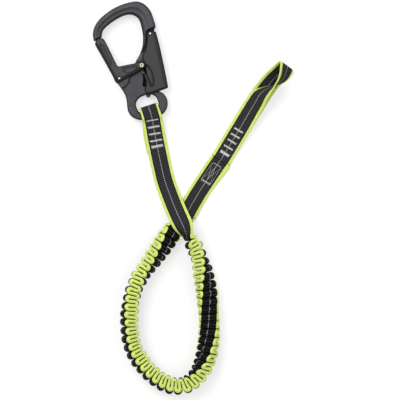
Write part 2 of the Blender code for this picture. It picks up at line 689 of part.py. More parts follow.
# Its tip as a drop below the nose's cut and an angle about the pivot
GATE_TIP = [(6.6, 91.0), (3.4, 92.3), (1.5, 95.2), (1.2, 99.0), (2.5, 102.8), (4.2, 104.9)]
GATE_WEB_TOP = 0.82
GATE_WEB_BOTTOM = 0.245
GATE_GROOVE = [
    (-24.4, 58.0), (-22.8, 62.0), (-24.2, 72.0), (-25.6, 84.0), (-27.6, 87.0), (-29.4, 84.6),
    (-27.6, 72.0), (-26.0, 61.0),
]
ARM_RECESS = [
    (-12.7, 50.0), (2.0, 47.6), (5.4, 46.0), (2.0, 43.6), (-4.2, 41.4), (-9.3, 41.6), (-12.8, 45.6),
]


def up_gate(edge):
    """Return the places of points given across and by a share of the reach to the nose."""
    return [(x, GATE_PIVOT[1] + share * NOSE_CUT_RADIUS) for x, share in edge]


def gate_outline():
    """Return the bell crank: gate, heel round the pin, and the short arm to the rivet."""
    tip = [circle_point(GATE_PIVOT, NOSE_CUT_RADIUS - drop, angle) for drop, angle in GATE_TIP]
    outline = up_gate(GATE_BACK) + smooth(GATE_HEEL, 2)
    outline += arc(LOCK_REST, GATE_ARM_RADIUS, -82, 96, 12)
    outline += GATE_ARM_TOP + up_gate(GATE_FRONT) + smooth(tip, 2)
    return outline


def gate_room_outline():
    """Return the room between the gate's cheeks, which leaves only the web at the gate's back."""
    reach = CUTTER_REACH
    top, bottom = (y for x, y in up_gate([(0, GATE_WEB_TOP), (0, GATE_WEB_BOTTOM)]))
    web = [(x + GATE_WALL, y) for x, y in up_gate(GATE_BACK) if bottom < y < top]
    web = [(web[0][0], top)] + web + [(web[-1][0] + GATE_WALL / 2, bottom)]
    return [(-reach, -reach), (reach, -reach), (reach, reach), (-reach, reach), (-reach, top)] + web + [
        (-reach, bottom)]


def gate_lever(parent):
    """Build the folded gate: two cheeks, the web at its back and the pressed recesses."""
    axis = empty("gate_axis", parent, (*GATE_PIVOT, 0))
    lever = prism("gate_lever", gate_outline(), -GATE_OUTER, GATE_OUTER, parent, "anodised", GATE_PIVOT)
    round_edges(lever, GATE_EDGE_ROUND, 1, 60)
    cut(lever, prism("gate_room", gate_room_outline(), -GATE_INNER, GATE_INNER, parent))
    for shape, outline in (("groove", GATE_GROOVE), ("recess", ARM_RECESS)):
        low, high = GATE_OUTER - RECESS_DEPTH, GATE_OUTER + 1.0
        cut(lever, prism(shape + "_over", outline, low, high, parent))
        cut(lever, prism(shape + "_under", outline, -high, -low, parent))
    cut(lever, drum("gate_pin_room", GATE_PIVOT, GATE_PIN_RADIUS + PIN_CLEARANCE, HOOK_HALF, parent))
    cut(lever, drum("rivet_room", LOCK_REST, RIVET_RADIUS + PIN_CLEARANCE, HOOK_HALF, parent))
    return axis, lever


def lock_rivet(parent):
    """Turn the hollow rivet, with a head against each gate cheek."""
    shank, head, bore = RIVET_RADIUS, RIVET_HEAD_RADIUS, RIVET_BORE_RADIUS
    seat = GATE_OUTER + RIVET_SEAT_GAP
    top = HOOK_HALF
    profile = [
        (bore, -top), (head - 0.35, -top), (head, -top + 0.3), (head, -seat), (shank, -seat),
        (shank, seat), (head, seat), (head, top - 0.3), (head - 0.35, top), (bore, top),
    ]
    return turned("lock_rivet", profile, LOCK_REST, parent, "brass", hollow=True, sides=18)


def lock_bush(parent):
    """Turn the sleeve that rolls in the frame's slot."""
    bore, half = RIVET_RADIUS + PIN_CLEARANCE, PLATE_HALF - 0.1
    profile = [(bore, -half), (BUSH_RADIUS, -half), (BUSH_RADIUS, half), (bore, half)]
    return turned("lock_bush", profile, LOCK_REST, parent, "steel", hollow=True, sides=18)


# Webbing


def plan(spots):
    """Return points on the floor and headings at distances along the route."""
    along = distances(ROUTE)
    spots = np.array(spots, float)
    points = curve_through(ROUTE, along, spots)
    ahead = curve_through(ROUTE, along, spots + 1.0) - curve_through(ROUTE, along, spots - 1.0)
    return points, ahead / np.linalg.norm(ahead, axis=1)[:, None]


def sides_of(headings, rolls_deg):
    """Return the direction across the webbing: left of its heading, rolled about the heading."""
    roll = np.radians(rolls_deg)
    left = np.stack([-headings[:, 1], headings[:, 0]], axis=1) * np.cos(roll)[:, None]
    return np.column_stack([left, np.sin(roll)])


def frames_of(centres, sides):
    """Return the thickness directions of a strip from its centres and sides."""
    along = np.gradient(centres, axis=0)
    along /= np.linalg.norm(along, axis=1)[:, None]
    normals = np.cross(along, sides)
    return normals / np.linalg.norm(normals, axis=1)[:, None]


def strip(name, centres, sides, widths, thicknesses, parent):
    """Sweep flat webbing, its long edges chamfered, through centres with a side direction at each."""
    normals = frames_of(centres, sides)
    rings = []
    for centre, side, normal, width, thick in zip(centres, sides, normals, widths, thicknesses):
        half, edge = width / 2, thick / 2
        section = [
            (half, -0.5 * edge), (half, 0.5 * edge), (half - 0.8, edge), (0.8 - half, edge),
            (-half, 0.5 * edge), (-half, -0.5 * edge), (0.8 - half, -edge), (half - 0.8, -edge),
        ]
        rings.append([centre + w * side + t * normal for w, t in section])
    points, faces = loft(rings)
    return piece(name, points, faces, parent, "webbing", smooth_deg=40)


def spaced(path, step):
    """Return a path's own places and more between them, so that no span is over a step."""
    along = distances([p[:3] for p in path])
    spots = [0.0]
    for a, b in zip(along[:-1], along[1:]):
        parts = max(1, math.ceil((b - a) / step))
        spots += list(np.linspace(a, b, parts + 1)[1:])
    return curve_through(path, along, spots)


def hook_strap(parent):
    """Lay the strap from its tail, round the eye's bar and down to the gathers."""
    rows = spaced(STRAP_FOLD, STRAP_STEP)
    points, headings = plan(rows[:, 0])
    centres = np.column_stack([points, rows[:, 1]])
    sides = sides_of(headings, rows[:, 2])
    widths = np.interp(rows[:, 0], [6.0, 24.0], [EYE_FOLD_WIDTH, WEBBING_WIDTH])
    swell = [HOOK_STRAP_LENGTH - SWELL_LENGTH, HOOK_STRAP_LENGTH]
    thick = np.interp(rows[:, 0], swell, [WEBBING_THICKNESS, STRAP_END_THICKNESS])
    return strip("hook_strap", centres, sides, widths, thick, parent)


def loop_strap(parent):
    """Lay the strap from the gathers to the sewn loop, which is tipped on its edge, and back."""
    heading = math.radians(LOOP_HEADING_DEG)
    ahead = np.array([math.cos(heading), math.sin(heading)])
    right = np.array([ahead[1], -ahead[0]])
    start, toward = plan([distances(ROUTE)[-1]])
    first = start[0] + toward[0] * 2 * GAP - np.array(LOOP_TACK)
    path = [(first @ ahead, first @ right, GATHER_POSE[-1][1], 3.0)] + LOOP_PATH
    rows = spaced(path, STRAP_STEP * 1.4)
    floor = np.array(LOOP_TACK) + rows[:, :1] * ahead + rows[:, 1:2] * right
    centres = np.column_stack([floor, rows[:, 2]])
    sides = sides_of(np.tile(ahead, (len(rows), 1)), rows[:, 3])
    widths = np.full(len(rows), WEBBING_WIDTH)
    run = distances(centres)
    thick = np.interp(run, [0.0, SWELL_LENGTH], [STRAP_END_THICKNESS, WEBBING_THICKNESS])
    return strip("loop_strap", centres, sides, widths, thick, parent)


def gather_line(count):
    """Return centres, sides and thickness directions at even steps along the gathers."""
    start, stop = HOOK_STRAP_LENGTH + GAP, distances(ROUTE)[-1]
    shares = np.linspace(0.0, 1.0, count + 1)
    points, headings = plan(start + shares * (stop - start))
    poses = curve_through([p[1:] for p in GATHER_POSE], [p[0] for p in GATHER_POSE], shares)
    centres = np.column_stack([points, poses[:, 0]])
    sides = sides_of(headings, poses[:, 1])
    return shares, centres, sides, frames_of(centres, sides)


def gather_section(share):
    """Return the gathered section at a share of the length: its points across and through."""
    phase = 2 * math.pi * GATHER_COUNT * share
    from_start = share * GATHER_COUNT / RAMP_GATHERS
    from_stop = (1 - share) * GATHER_COUNT / (2 * RAMP_GATHERS)
    grown = min(1.0, from_start, from_stop)
    sway = EDGE_SWAY * grown * math.sin(phase)
    front = PUFF_BASE + grown * PUFF_HEIGHT * (1 + math.sin(phase)) / 2
    back = PUFF_BASE + grown * PUFF_HEIGHT * (1 - math.sin(phase)) / 2
    front = COLLAR_HALF + (front - COLLAR_HALF) * min(1.0, 3 * grown)
    back = COLLAR_HALF + (back - COLLAR_HALF) * min(1.0, 3 * grown)
    section = []
    for angle in np.linspace(0, 2 * math.pi, GATHER_SIDES, endpoint=False):
        lift = abs(math.sin(angle)) ** 0.7
        target = front if math.sin(angle) >= 0 else -back
        section.append((GATHER_WIDTH / 2 * math.cos(angle), sway + (target - sway) * lift))
    return section


def oval_section(half_width, half_height, sides):
    """Return an oval section."""
    turn = np.linspace(0, 2 * math.pi, sides, endpoint=False)
    return [(half_width * math.cos(a), half_height * math.sin(a)) for a in turn]


def ring_at(centre, side, normal, section):
    """Place a section across a strip."""
    return [tuple(centre + w * side + t * normal) for w, t in section]


def gathered_webbing(parent):
    """Gather the tubular webbing into ribs that puff out front and back by turns, with its bore."""
    shares, centres, sides, normals = gather_line(GATHER_COUNT * SECTIONS_PER_GATHER)
    skin = [ring_at(c, s, n, gather_section(h)) for h, c, s, n in zip(shares, centres, sides, normals)]
    shares, centres, sides, normals = gather_line(GATHER_COUNT)
    oval = oval_section(BORE_HALF_WIDTH, BORE_HALF_HEIGHT, GATHER_SIDES)
    bore = [ring_at(c, s, n, oval) for c, s, n in zip(centres, sides, normals)]
    points, faces = loft(skin, capped=False, halved=True)
    inner_points, inner_faces = loft(bore, capped=False, halved=True)
    first = len(points)
    faces += [tuple(first + i for i in reversed(face)) for face in inner_faces]
    points += inner_points
    last = len(points)
    ends = ((0, first, True), (first - GATHER_SIDES, last - GATHER_SIDES, False))
    for outer_start, inner_start, flip in ends:
        for i in range(GATHER_SIDES):
            j = (i + 1) % GATHER_SIDES
            face = (outer_start + i, outer_start + j, inner_start + j, inner_start + i)
            faces.append(face[::-1] if flip else face)
    return piece("gathered_webbing", points, faces, parent, "gathers", smooth_deg=50)


def elastic_core(parent):
    """Lay the flat elastic through the gathers' bore, on the same sections."""
    _, centres, sides, normals = gather_line(GATHER_COUNT)
    for end, near in ((0, 1), (-1, -2)):
        inward = centres[near] - centres[end]
        centres[end] += inward / np.linalg.norm(inward) * ELASTIC_SETBACK
    oval = oval_section(BORE_HALF_WIDTH - ELASTIC_MARGIN, BORE_HALF_HEIGHT - ELASTIC_MARGIN, GATHER_SIDES)
    rings = [ring_at(c, s, n, oval) for c, s, n in zip(centres, sides, normals)]
    points, faces = loft(rings, halved=True)
    return piece("elastic_core", points, faces, parent, "elastic", smooth_deg=50)


# Assembly


def footprint_middle(things):
    """Return the middle of the things' outline on the floor, in metres."""
    bpy.context.view_layer.update()
    graph = bpy.context.evaluated_depsgraph_get()
    places = []
    for thing in things:
        seen = thing.evaluated_get(graph)
        mesh = seen.to_mesh()
        places += [seen.matrix_world @ vertex.co for vertex in mesh.vertices]
        seen.to_mesh_clear()
    xs = [place.x for place in places]
    ys = [place.y for place in places]
    return (min(xs) + max(xs)) / 2, (min(ys) + max(ys)) / 2


def build_hook(eye):
    """Build the hook's pieces in its own axes, and hang the moving ones on their pivots."""
    hook = empty("hook_axes", eye, turn_deg=HOOK_LEAN_DEG)
    frame = hook_frame(hook)
    profile = pin_profile(GATE_PIN_RADIUS, GATE_OUTER + PIN_STANDS_OUT)
    gate_pin = turned("gate_pin", profile, GATE_PIVOT, hook, "steel")
    profile = pin_profile(LEVER_PIN_RADIUS, PALM_OUTER + PIN_STANDS_OUT)
    lever_pin = turned("lever_pin", profile, PALM_PIVOT, hook, "steel")
    gate_axis, gate = gate_lever(hook)
    palm_axis, palm = palm_lever(hook)
    rivet, bush = lock_rivet(hook), lock_bush(hook)
    for axis, things in ((gate_axis, (gate, rivet, bush)), (palm_axis, (palm,))):
        for thing in things:
            hang_on(thing, axis)
    springs = gate_spring(hook), lever_spring(hook)
    return hook, (frame, gate_pin, lever_pin, gate, palm, rivet, bush) + springs


def hang_on(thing, axis):
    """Hand a piece from the hook's axes to a pivot, where it stays in place."""
    thing.location = thing.location - axis.location
    thing.parent = axis
    for step in thing.modifiers:
        if step.type == "BOOLEAN":
            step.object.location = step.object.location - axis.location
            step.object.parent = axis


def build_webbing(eye):
    """Build the webbing and the elastic, which lie on the floor from the eye on."""
    return hook_strap(eye), gathered_webbing(eye), elastic_core(eye), loop_strap(eye)


def report_places(eye, hook):
    """Print the pivots and the least gap between neighbouring gathers."""
    bpy.context.view_layer.update()
    bar = (0, EYE_BOTTOM - EYE_BAR_WIDTH / 2)
    for name, spot in (("gate", GATE_PIVOT), ("palm", PALM_PIVOT), ("eye bar", bar)):
        place = hook.matrix_world @ Vector((spot[0] * MM, spot[1] * MM, HOOK_HALF * MM))
        print(name, "pivot", [round(c, 5) for c in place])
    print("middle of the eye", [round(c, 5) for c in eye.matrix_world.translation])
    along = distances(ROUTE)
    print("gathered length", round(along[-1] - HOOK_STRAP_LENGTH, 1), "mm")
    print("gather pitch", round((along[-1] - HOOK_STRAP_LENGTH) / GATHER_COUNT, 2), "mm")


def main():
    """Clear the scene, build the tether and put its origin under the middle of the hook."""
    for thing in list(bpy.data.objects):
        bpy.data.objects.remove(thing)
    eye = empty("eye")
    hook, hook_things = build_hook(eye)
    build_webbing(eye)
    x, y = footprint_middle(hook_things)
    eye.location = (-x, -y, 0.0)
    report_places(eye, hook)


if __name__ == "__main__":
    main()
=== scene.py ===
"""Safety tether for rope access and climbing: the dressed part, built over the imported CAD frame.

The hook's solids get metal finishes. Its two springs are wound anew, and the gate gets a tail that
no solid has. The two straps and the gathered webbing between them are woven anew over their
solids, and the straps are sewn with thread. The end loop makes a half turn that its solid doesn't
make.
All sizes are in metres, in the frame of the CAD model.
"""

import json
import logging
import math
from dataclasses import dataclass
from enum import Enum
from functools import cache

import bpy
import numpy as np
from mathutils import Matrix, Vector


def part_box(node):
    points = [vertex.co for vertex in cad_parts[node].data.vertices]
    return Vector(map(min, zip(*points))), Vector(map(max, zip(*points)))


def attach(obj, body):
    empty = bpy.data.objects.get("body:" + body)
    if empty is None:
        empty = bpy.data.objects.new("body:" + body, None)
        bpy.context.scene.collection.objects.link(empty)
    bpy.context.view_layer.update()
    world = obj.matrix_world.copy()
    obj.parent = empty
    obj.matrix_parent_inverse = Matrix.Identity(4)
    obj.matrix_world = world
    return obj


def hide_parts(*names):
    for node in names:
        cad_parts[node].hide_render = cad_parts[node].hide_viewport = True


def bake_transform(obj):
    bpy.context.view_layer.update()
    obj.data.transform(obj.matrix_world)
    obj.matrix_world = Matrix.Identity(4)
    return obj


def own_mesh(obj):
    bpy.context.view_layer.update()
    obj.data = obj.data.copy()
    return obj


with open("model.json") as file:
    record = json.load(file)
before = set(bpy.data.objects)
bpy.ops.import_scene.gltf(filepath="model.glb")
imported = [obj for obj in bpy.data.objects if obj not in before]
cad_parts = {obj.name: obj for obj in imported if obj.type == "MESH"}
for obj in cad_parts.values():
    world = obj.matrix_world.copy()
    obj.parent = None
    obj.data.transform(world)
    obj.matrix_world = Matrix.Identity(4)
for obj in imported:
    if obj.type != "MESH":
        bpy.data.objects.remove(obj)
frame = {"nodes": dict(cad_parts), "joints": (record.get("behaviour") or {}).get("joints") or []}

log = logging.getLogger("safety tether")

Colour = tuple[float, float, float]
Triple = tuple[float, float, float]
Pair = tuple[float, float]

MM = 0.001
HOOK_TURN_DEG = 20.0
EYE_BAR_DROP = 0.01345
PICTURE_FROM_EYE = (0.06324, -0.11484)
WEAVE_LAYER = "weave"


class Part(Enum):
    """The CAD bodies that pieces ride on."""

    TETHER = "tether"
    HOOK = "hook"
    GATE = "gate"


class Side(Enum):
    """The face of a strap, as the sign of its thickness direction."""

    TOP = 1.0
    UNDER = -1.0


# Reading lines


def distances(points: np.ndarray) -> np.ndarray:
    """Return how far along a line each of its points lies.

    Args:
        points: one row for each point.

    Returns:
        The distance of each point from the first one, along the line.
    """
    steps = np.linalg.norm(np.diff(np.asarray(points, float), axis=0), axis=1)
    return np.concatenate([[0.0], np.cumsum(steps)])


def curve_through(points: np.ndarray, places: np.ndarray, spots: np.ndarray) -> np.ndarray:
    """Read a smooth curve through points.

    Args:
        points: one row for each point that the curve passes.
        places: where along the curve each point lies.
        spots: where to read the curve, in the measure of places.

    Returns:
        One row for each spot.
    """
    points, places = np.asarray(points, float), np.asarray(places, float)
    slopes = np.gradient(points, places, axis=0)
    spots = np.clip(np.asarray(spots, float), places[0], places[-1])
    span = np.clip(np.searchsorted(places, spots, side="right") - 1, 0, len(places) - 2)
    step = (places[span + 1] - places[span])[:, None]
    t = (spots - places[span])[:, None] / step
    return (
        (2 * t**3 - 3 * t**2 + 1) * points[span]
        + (t**3 - 2 * t**2 + t) * step * slopes[span]
        + (3 * t**2 - 2 * t**3) * points[span + 1]
        + (t**3 - t**2) * step * slopes[span + 1]
    )


def spaced(path: np.ndarray, step: float, roll_column: int) -> np.ndarray:
    """Return a path's rows and more between them.

    Args:
        path: one row for each place, with lengths and one roll in degrees.
        step: the longest span that is left.
        roll_column: the column of the roll. Only the first three columns are measured, and a degree
            of the roll counts as a millimetre if it is one of them.

    Returns:
        The rows of a smooth curve through the path.
    """
    rows = np.asarray(path, float)
    measure = rows / MM
    measure[:, roll_column] = rows[:, roll_column]
    along = distances(measure[:, :3])
    spots = [0.0]
    for a, b in zip(along[:-1], along[1:]):
        spots += list(np.linspace(a, b, max(1, math.ceil((b - a) * MM / step)) + 1)[1:])
    return curve_through(rows, along, spots)


def unit(vectors: np.ndarray) -> np.ndarray:
    """Return vectors, one in each row, with a length of one."""
    return vectors / np.linalg.norm(vectors, axis=1)[:, None]


def sides_of(headings: np.ndarray, rolls_deg: np.ndarray) -> np.ndarray:
    """Work out the direction across webbing at each point of its line.

    Args:
        headings: the line's directions on the floor, one in each row.
        rolls_deg: how far the webbing is rolled about each of them, its left edge up.

    Returns:
        The direction from its middle to its left edge, one in each row.
    """
    roll = np.radians(rolls_deg)
    left = np.stack([-headings[:, 1], headings[:, 0]], axis=1) * np.cos(roll)[:, None]
    return np.column_stack([left, np.sin(roll)])


@dataclass(frozen=True)
class Route:
    """The tether's route on the floor, from the middle of the hook's eye."""

    eye: Pair
    stops: tuple[Pair, ...] = (
        (0.001, -0.0012), (0.0054, -0.0151), (0.0077, -0.0272), (0.01, -0.041), (0.0126, -0.0541),
        (0.0164, -0.0724), (0.021, -0.0918), (0.0275, -0.11), (0.0368, -0.1322), (0.0458, -0.1502),
        (0.0542, -0.1664), (0.0599, -0.1776), (0.0647, -0.1921), (0.0682, -0.2075), (0.0715, -0.2243),
        (0.0731, -0.2438), (0.0742, -0.263), (0.0734, -0.2828), (0.07, -0.3038), (0.062, -0.3221),
        (0.0497, -0.3341), (0.0355, -0.3377), (0.0205, -0.3338), (0.0043, -0.3221), (-0.008, -0.3076),
        (-0.0175, -0.2896), (-0.0212, -0.2686), (-0.0209, -0.2473), (-0.0172, -0.2266),
        (-0.0083, -0.2063), (0.0047, -0.1884), (0.017, -0.1711), (0.029, -0.1544), (0.0422, -0.1397),
        (0.0469, -0.1318),
    )

    def length(self) -> float:
        """Return the length of the line through the stops."""
        return float(distances(self.stops)[-1])

    def read(self, spots: np.ndarray) -> tuple[np.ndarray, np.ndarray]:
        """Read the route.

        Args:
            spots: distances along it.

        Returns:
            The places on the floor, and the headings there.
        """
        along, spots = distances(self.stops), np.asarray(spots, float)
        after, before = (curve_through(self.stops, along, spots + near) for near in (MM, -MM))
        return curve_through(self.stops, along, spots) + np.array(self.eye), unit(after - before)


@dataclass
class Ribbon:
    """The line that webbing follows, with its directions at each point."""

    centres: np.ndarray
    sides: np.ndarray
    marks: np.ndarray

    def __post_init__(self) -> None:
        """Work out the thickness directions and the distances along the line."""
        self.along = distances(self.centres)
        self.normals = unit(np.cross(unit(np.gradient(self.centres, axis=0)), self.sides))

    def read(self, rows: np.ndarray, at: float) -> np.ndarray:
        """Return a row of values at a distance along the ribbon."""
        return np.array([np.interp(at, self.along, column) for column in rows.T])

    def place(self, across: float, at: float, lift: float) -> np.ndarray:
        """Return a point of the ribbon.

        Args:
            across: distance from its middle line.
            at: distance along it.
            lift: distance off it, in its thickness direction.

        Returns:
            The point.
        """
        side, normal = self.read(self.sides, at), self.read(self.normals, at)
        return self.read(self.centres, at) + across * side + lift * normal

    def spot_of(self, mark: float, first: int, last: int) -> float:
        """Find where a run of the ribbon passes a mark.

        Args:
            mark: the mark.
            first: the run's first row.
            last: the row after its last.

        Returns:
            The distance along the ribbon.
        """
        marks, along = self.marks[first:last], self.along[first:last]
        order = np.argsort(marks)
        return float(np.interp(mark, marks[order], along[order]))

    def upward(self, row: int) -> float:
        """Return 1 if the thickness direction points up at a row, and -1 if it points down."""
        return 1.0 if self.normals[row, 2] > 0 else -1.0


# Making meshes


def mesh_object(name: str, points: np.ndarray, faces: list[tuple[int, ...]]) -> bpy.types.Object:
    """Make a smooth mesh object and link it to the scene.

    Args:
        name: the object's name.
        points: one row for each point.
        faces: the points of each face, by their rows.

    Returns:
        The object.
    """
    mesh = bpy.data.meshes.new(name)
    mesh.from_pydata([tuple(map(float, p)) for p in points], [], faces)
    mesh.update()
    mesh.shade_smooth()
    thing = bpy.data.objects.new(name, mesh)
    bpy.context.scene.collection.objects.link(thing)
    return thing


def skin_faces(rings: int, count: int) -> list[tuple[int, ...]]:
    """List the faces between closed rings of points, and the two that fill the ends.

    Args:
        rings: how many rings there are.
        count: how many points each ring has.

    Returns:
        The points of each face, by their rows.
    """
    faces: list[tuple[int, ...]] = []
    for k in range(rings - 1):
        low, high = k * count, (k + 1) * count
        for i in range(count):
            j = (i + 1) % count
            faces.append((low + i, low + j, high + j, high + i))
    last = (rings - 1) * count
    return faces + [tuple(range(count - 1, -1, -1)), tuple(last + i for i in range(count))]


def lay_weave(thing: bpy.types.Object, across: np.ndarray, along: np.ndarray) -> None:
    """Give each corner its place in the cloth, in millimetres across and along.

    Args:
        thing: the mesh object.
        across: signed distance from the cloth's middle, for each point.
        along: distance along the cloth, for each point.
    """
    layer = thing.data.uv_layers.new(name=WEAVE_LAYER)
    corners = np.empty(len(thing.data.loops), dtype=np.int32)
    thing.data.loops.foreach_get("vertex_index", corners)
    layer.data.foreach_set("uv", np.stack([across[corners], along[corners]], axis=1).ravel() / MM)


def tube_along(name: str, lines: list[np.ndarray], radius: float) -> bpy.types.Object:
    """Make one mesh of round thread or wire along several lines, tapered in at both ends.

    Args:
        name: the object's name.
        lines: the points that each thread follows.
        radius: the thread's radius.

    Returns:
        The object, with its thread's turn and length as its weave layer.
    """
    sides, end_share, across_to = 6, 0.45, np.array([0.31, 0.17, 0.94])
    points, faces, around, lengths = [], [], [], []
    for line in lines:
        ahead = unit(np.gradient(line, axis=0))
        across = unit(np.cross(ahead, across_to))
        up = np.cross(ahead, across)
        first, along = len(points), distances(line)
        for k, centre in enumerate(line):
            thick = radius * (end_share if k in (0, len(line) - 1) else 1.0)
            for i in range(sides):
                turn = 2 * math.pi * i / sides
                points.append(centre + thick * (math.cos(turn) * across[k] + math.sin(turn) * up[k]))
                around.append(radius * turn)
                lengths.append(along[k])
        faces += [tuple(first + i for i in face) for face in skin_faces(len(line), sides)]
    spots = np.array(points)
    # Nothing reaches under the floor
    spots[:, 2] = np.maximum(spots[:, 2], 0.0)
    thing = mesh_object(name, spots, faces)
    lay_weave(thing, np.array(around), np.array(lengths))
    return thing


# Finishes


class NodeSheet:
    """A short hand for laying out shader nodes in a tree."""

    def __init__(self, tree: bpy.types.NodeTree) -> None:
        """Take the tree that the nodes go in."""
        self.tree = tree

    def add(self, kind: str, inputs: dict | None = None, **settings: object) -> bpy.types.Node:
        """Add a node.

        Args:
            kind: the node's type, without its common start.
            inputs: what each input takes: another node's output or a plain value.
            settings: the node's own settings.

        Returns:
            The node.
        """
        node = self.tree.nodes.new("ShaderNode" + kind)
        for name, value in settings.items():
            setattr(node, name, value)
        self.feed(node, inputs or {})
        return node

    def feed(self, node: bpy.types.Node, inputs: dict) -> None:
        """Fill a node's inputs.

        Args:
            node: the node.
            inputs: what each input takes: another node's output or a plain value.
        """
        for name, value in inputs.items():
            if isinstance(value, bpy.types.NodeSocket):
                self.tree.links.new(value, node.inputs[name])
            else:
                node.inputs[name].default_value = value

    def sum(self, kind: str, a: object, b: object = 0.0, c: object = 0.0) -> bpy.types.NodeSocket:
        """Return a number worked out from up to three others."""
        return self.add("Math", {0: a, 1: b, 2: c}, operation=kind).outputs[0]

    def rest_of(self, share: object) -> bpy.types.NodeSocket:
        """Return what is left of one after a share."""
        return self.sum("SUBTRACT", 1.0, share)

    def ramp(self, value: object, low: object, high: object) -> bpy.types.NodeSocket:
        """Return a smooth step of a value between two others."""
        inputs = {"Value": value, "From Min": low, "From Max": high}
        return self.add("MapRange", inputs, interpolation_type="SMOOTHSTEP").outputs["Result"]

    def blend(self, share: object, a: object, b: object) -> bpy.types.NodeSocket:
        """Return the colour between two others."""
        return self.add("Mix", {0: share, 6: a, 7: b}, data_type="RGBA").outputs[2]

    def noise(self, place: object, scale: object, detail: float = 2.0) -> bpy.types.NodeSocket:
        """Return a soft random value over the surface."""
        return self.add("TexNoise", {"Vector": place, "Scale": scale, "Detail": detail}).outputs["Fac"]


def group(name: str, takes: dict[str, str], gives: dict[str, str]) -> tuple[NodeSheet, bpy.types.NodeOutputs]:
    """Start a node group with named sockets.

    Args:
        name: the group's name.
        takes: its inputs, each with its kind of socket.
        gives: its outputs, each with its kind of socket.

    Returns:
        A sheet to lay out its nodes, and what its inputs bring.
    """
    tree = bpy.data.node_groups.new(name, "ShaderNodeTree")
    for names, way in ((takes, "INPUT"), (gives, "OUTPUT")):
        for socket, kind in names.items():
            tree.interface.new_socket(socket, in_out=way, socket_type="NodeSocket" + kind)
    return NodeSheet(tree), tree.nodes.new("NodeGroupInput").outputs


def close_group(sheet: NodeSheet, results: dict[str, bpy.types.NodeSocket]) -> bpy.types.NodeTree:
    """Link a group's results to its output, and return the group."""
    sheet.feed(sheet.tree.nodes.new("NodeGroupOutput"), results)
    return sheet.tree


def rgba(colour: Colour) -> tuple[float, float, float, float]:
    """Turn a colour from a screen's values into a shader's.

    Args:
        colour: red, green and blue, 0 to 255.

    Returns:
        Red, green and blue in linear light, and a full alpha.
    """
    shares = [c / 255 for c in colour]
    linear = [s / 12.92 if s <= 0.04045 else ((s + 0.055) / 1.055) ** 2.4 for s in shares]
    return (*linear, 1.0)


@cache
def woven_group() -> bpy.types.NodeTree:
    """Build the weave of tubular webbing: ribbed body, coloured edges and a tracer yarn, with painted light
    and shade on its ribs and twill and in its folds.

    Returns:
        The node group, which gives a colour, a roughness and a height.
    """
    takes = {
        "Weave": "Vector", "Rib Pitch": "Float", "Edge Start": "Float", "Body": "Color", "Body Shaded": "Color",
        "Edge": "Color", "Edge Shaded": "Color", "Tracer": "Color", "Crease Shade": "Color", "Crease Depth": "Float",
        "Creased": "Float",
    }
    sheet, into = group("woven webbing", takes, {"Color": "Color", "Roughness": "Float", "Height": "Float"})
    split = sheet.add("SeparateXYZ", {0: into["Weave"]}).outputs
    across, along = split["X"], split["Y"]
    wander = sheet.sum("MULTIPLY_ADD", sheet.noise(into["Weave"], 0.9, 3.0), 0.5, -0.25)
    off = sheet.sum("ABSOLUTE", sheet.sum("ADD", across, wander))
    start, seam = into["Edge Start"], 0.15
    low, high = sheet.sum("SUBTRACT", start, seam), sheet.sum("ADD", start, seam)
    edge = sheet.add("MapRange", {"Value": off, "From Min": low, "From Max": high}).outputs["Result"]
    turns = sheet.sum("MULTIPLY", sheet.sum("DIVIDE", along, into["Rib Pitch"]), 2 * math.pi)
    bend = sheet.sum("MULTIPLY_ADD", sheet.noise(into["Weave"], 0.2), 0.8, -0.4)
    rib = sheet.sum("MULTIPLY_ADD", sheet.sum("COSINE", sheet.sum("ADD", turns, bend)), 0.5, 0.5)
    warp = sheet.sum("ABSOLUTE", sheet.sum("SINE", sheet.sum("MULTIPLY", across, math.pi / 0.8)))
    slant = sheet.sum("ADD", sheet.sum("MULTIPLY", along, 2.4), sheet.sum("MULTIPLY", off, 3.4))
    twill = sheet.sum("ABSOLUTE", sheet.sum("SINE", slant))
    body_height = sheet.sum("MULTIPLY_ADD", rib, 0.86, sheet.sum("MULTIPLY", warp, 0.14))
    height = sheet.add("Mix", {0: edge, 2: body_height, 3: twill}, data_type="FLOAT").outputs[0]
    dust = sheet.noise(into["Weave"], 2.6, 4.0)
    uneven = sheet.sum("MULTIPLY_ADD", dust, 0.9, 0.55)
    # Painted light and shade on the ribs, from their height: lighter on top, darker between them
    lit = sheet.sum("MULTIPLY", sheet.sum("POWER", body_height, 1.5), uneven)
    # Painted shade: the body is darkest just before the edge starts
    rim_shade = sheet.ramp(off, sheet.sum("SUBTRACT", start, 1.2), sheet.sum("SUBTRACT", start, 0.6))
    lit = sheet.sum("MULTIPLY", lit, sheet.rest_of(rim_shade))
    body = sheet.blend(lit, into["Body Shaded"], into["Body"])
    # Painted light on the edges' raised twill, with an uneven tone
    raised = sheet.sum("MULTIPLY_ADD", twill, 0.55, sheet.sum("MULTIPLY", dust, 0.45))
    rim = sheet.blend(raised, into["Edge Shaded"], into["Edge"])
    seen = sheet.rest_of(sheet.ramp(sheet.sum("ABSOLUTE", across), 0.3, 0.5))
    floats = sheet.ramp(sheet.sum("SINE", sheet.sum("MULTIPLY", along, 2.1)), -1.1, -0.5)
    yarn = sheet.sum("MULTIPLY", seen, floats)
    body = sheet.blend(yarn, body, into["Tracer"])
    rough = sheet.sum("MULTIPLY_ADD", dust, 0.16, 0.72)
    # Painted shade where the cloth folds against itself, from ambient occlusion
    open_air = sheet.add("AmbientOcclusion", {"Distance": into["Crease Depth"]}, samples=8).outputs["AO"]
    crease_shade = sheet.sum("MULTIPLY", sheet.rest_of(sheet.ramp(open_air, 0.12, 0.72)), into["Creased"])
    colour = sheet.blend(crease_shade, sheet.blend(edge, body, rim), into["Crease Shade"])
    return close_group(sheet, {"Color": colour, "Roughness": rough, "Height": height})


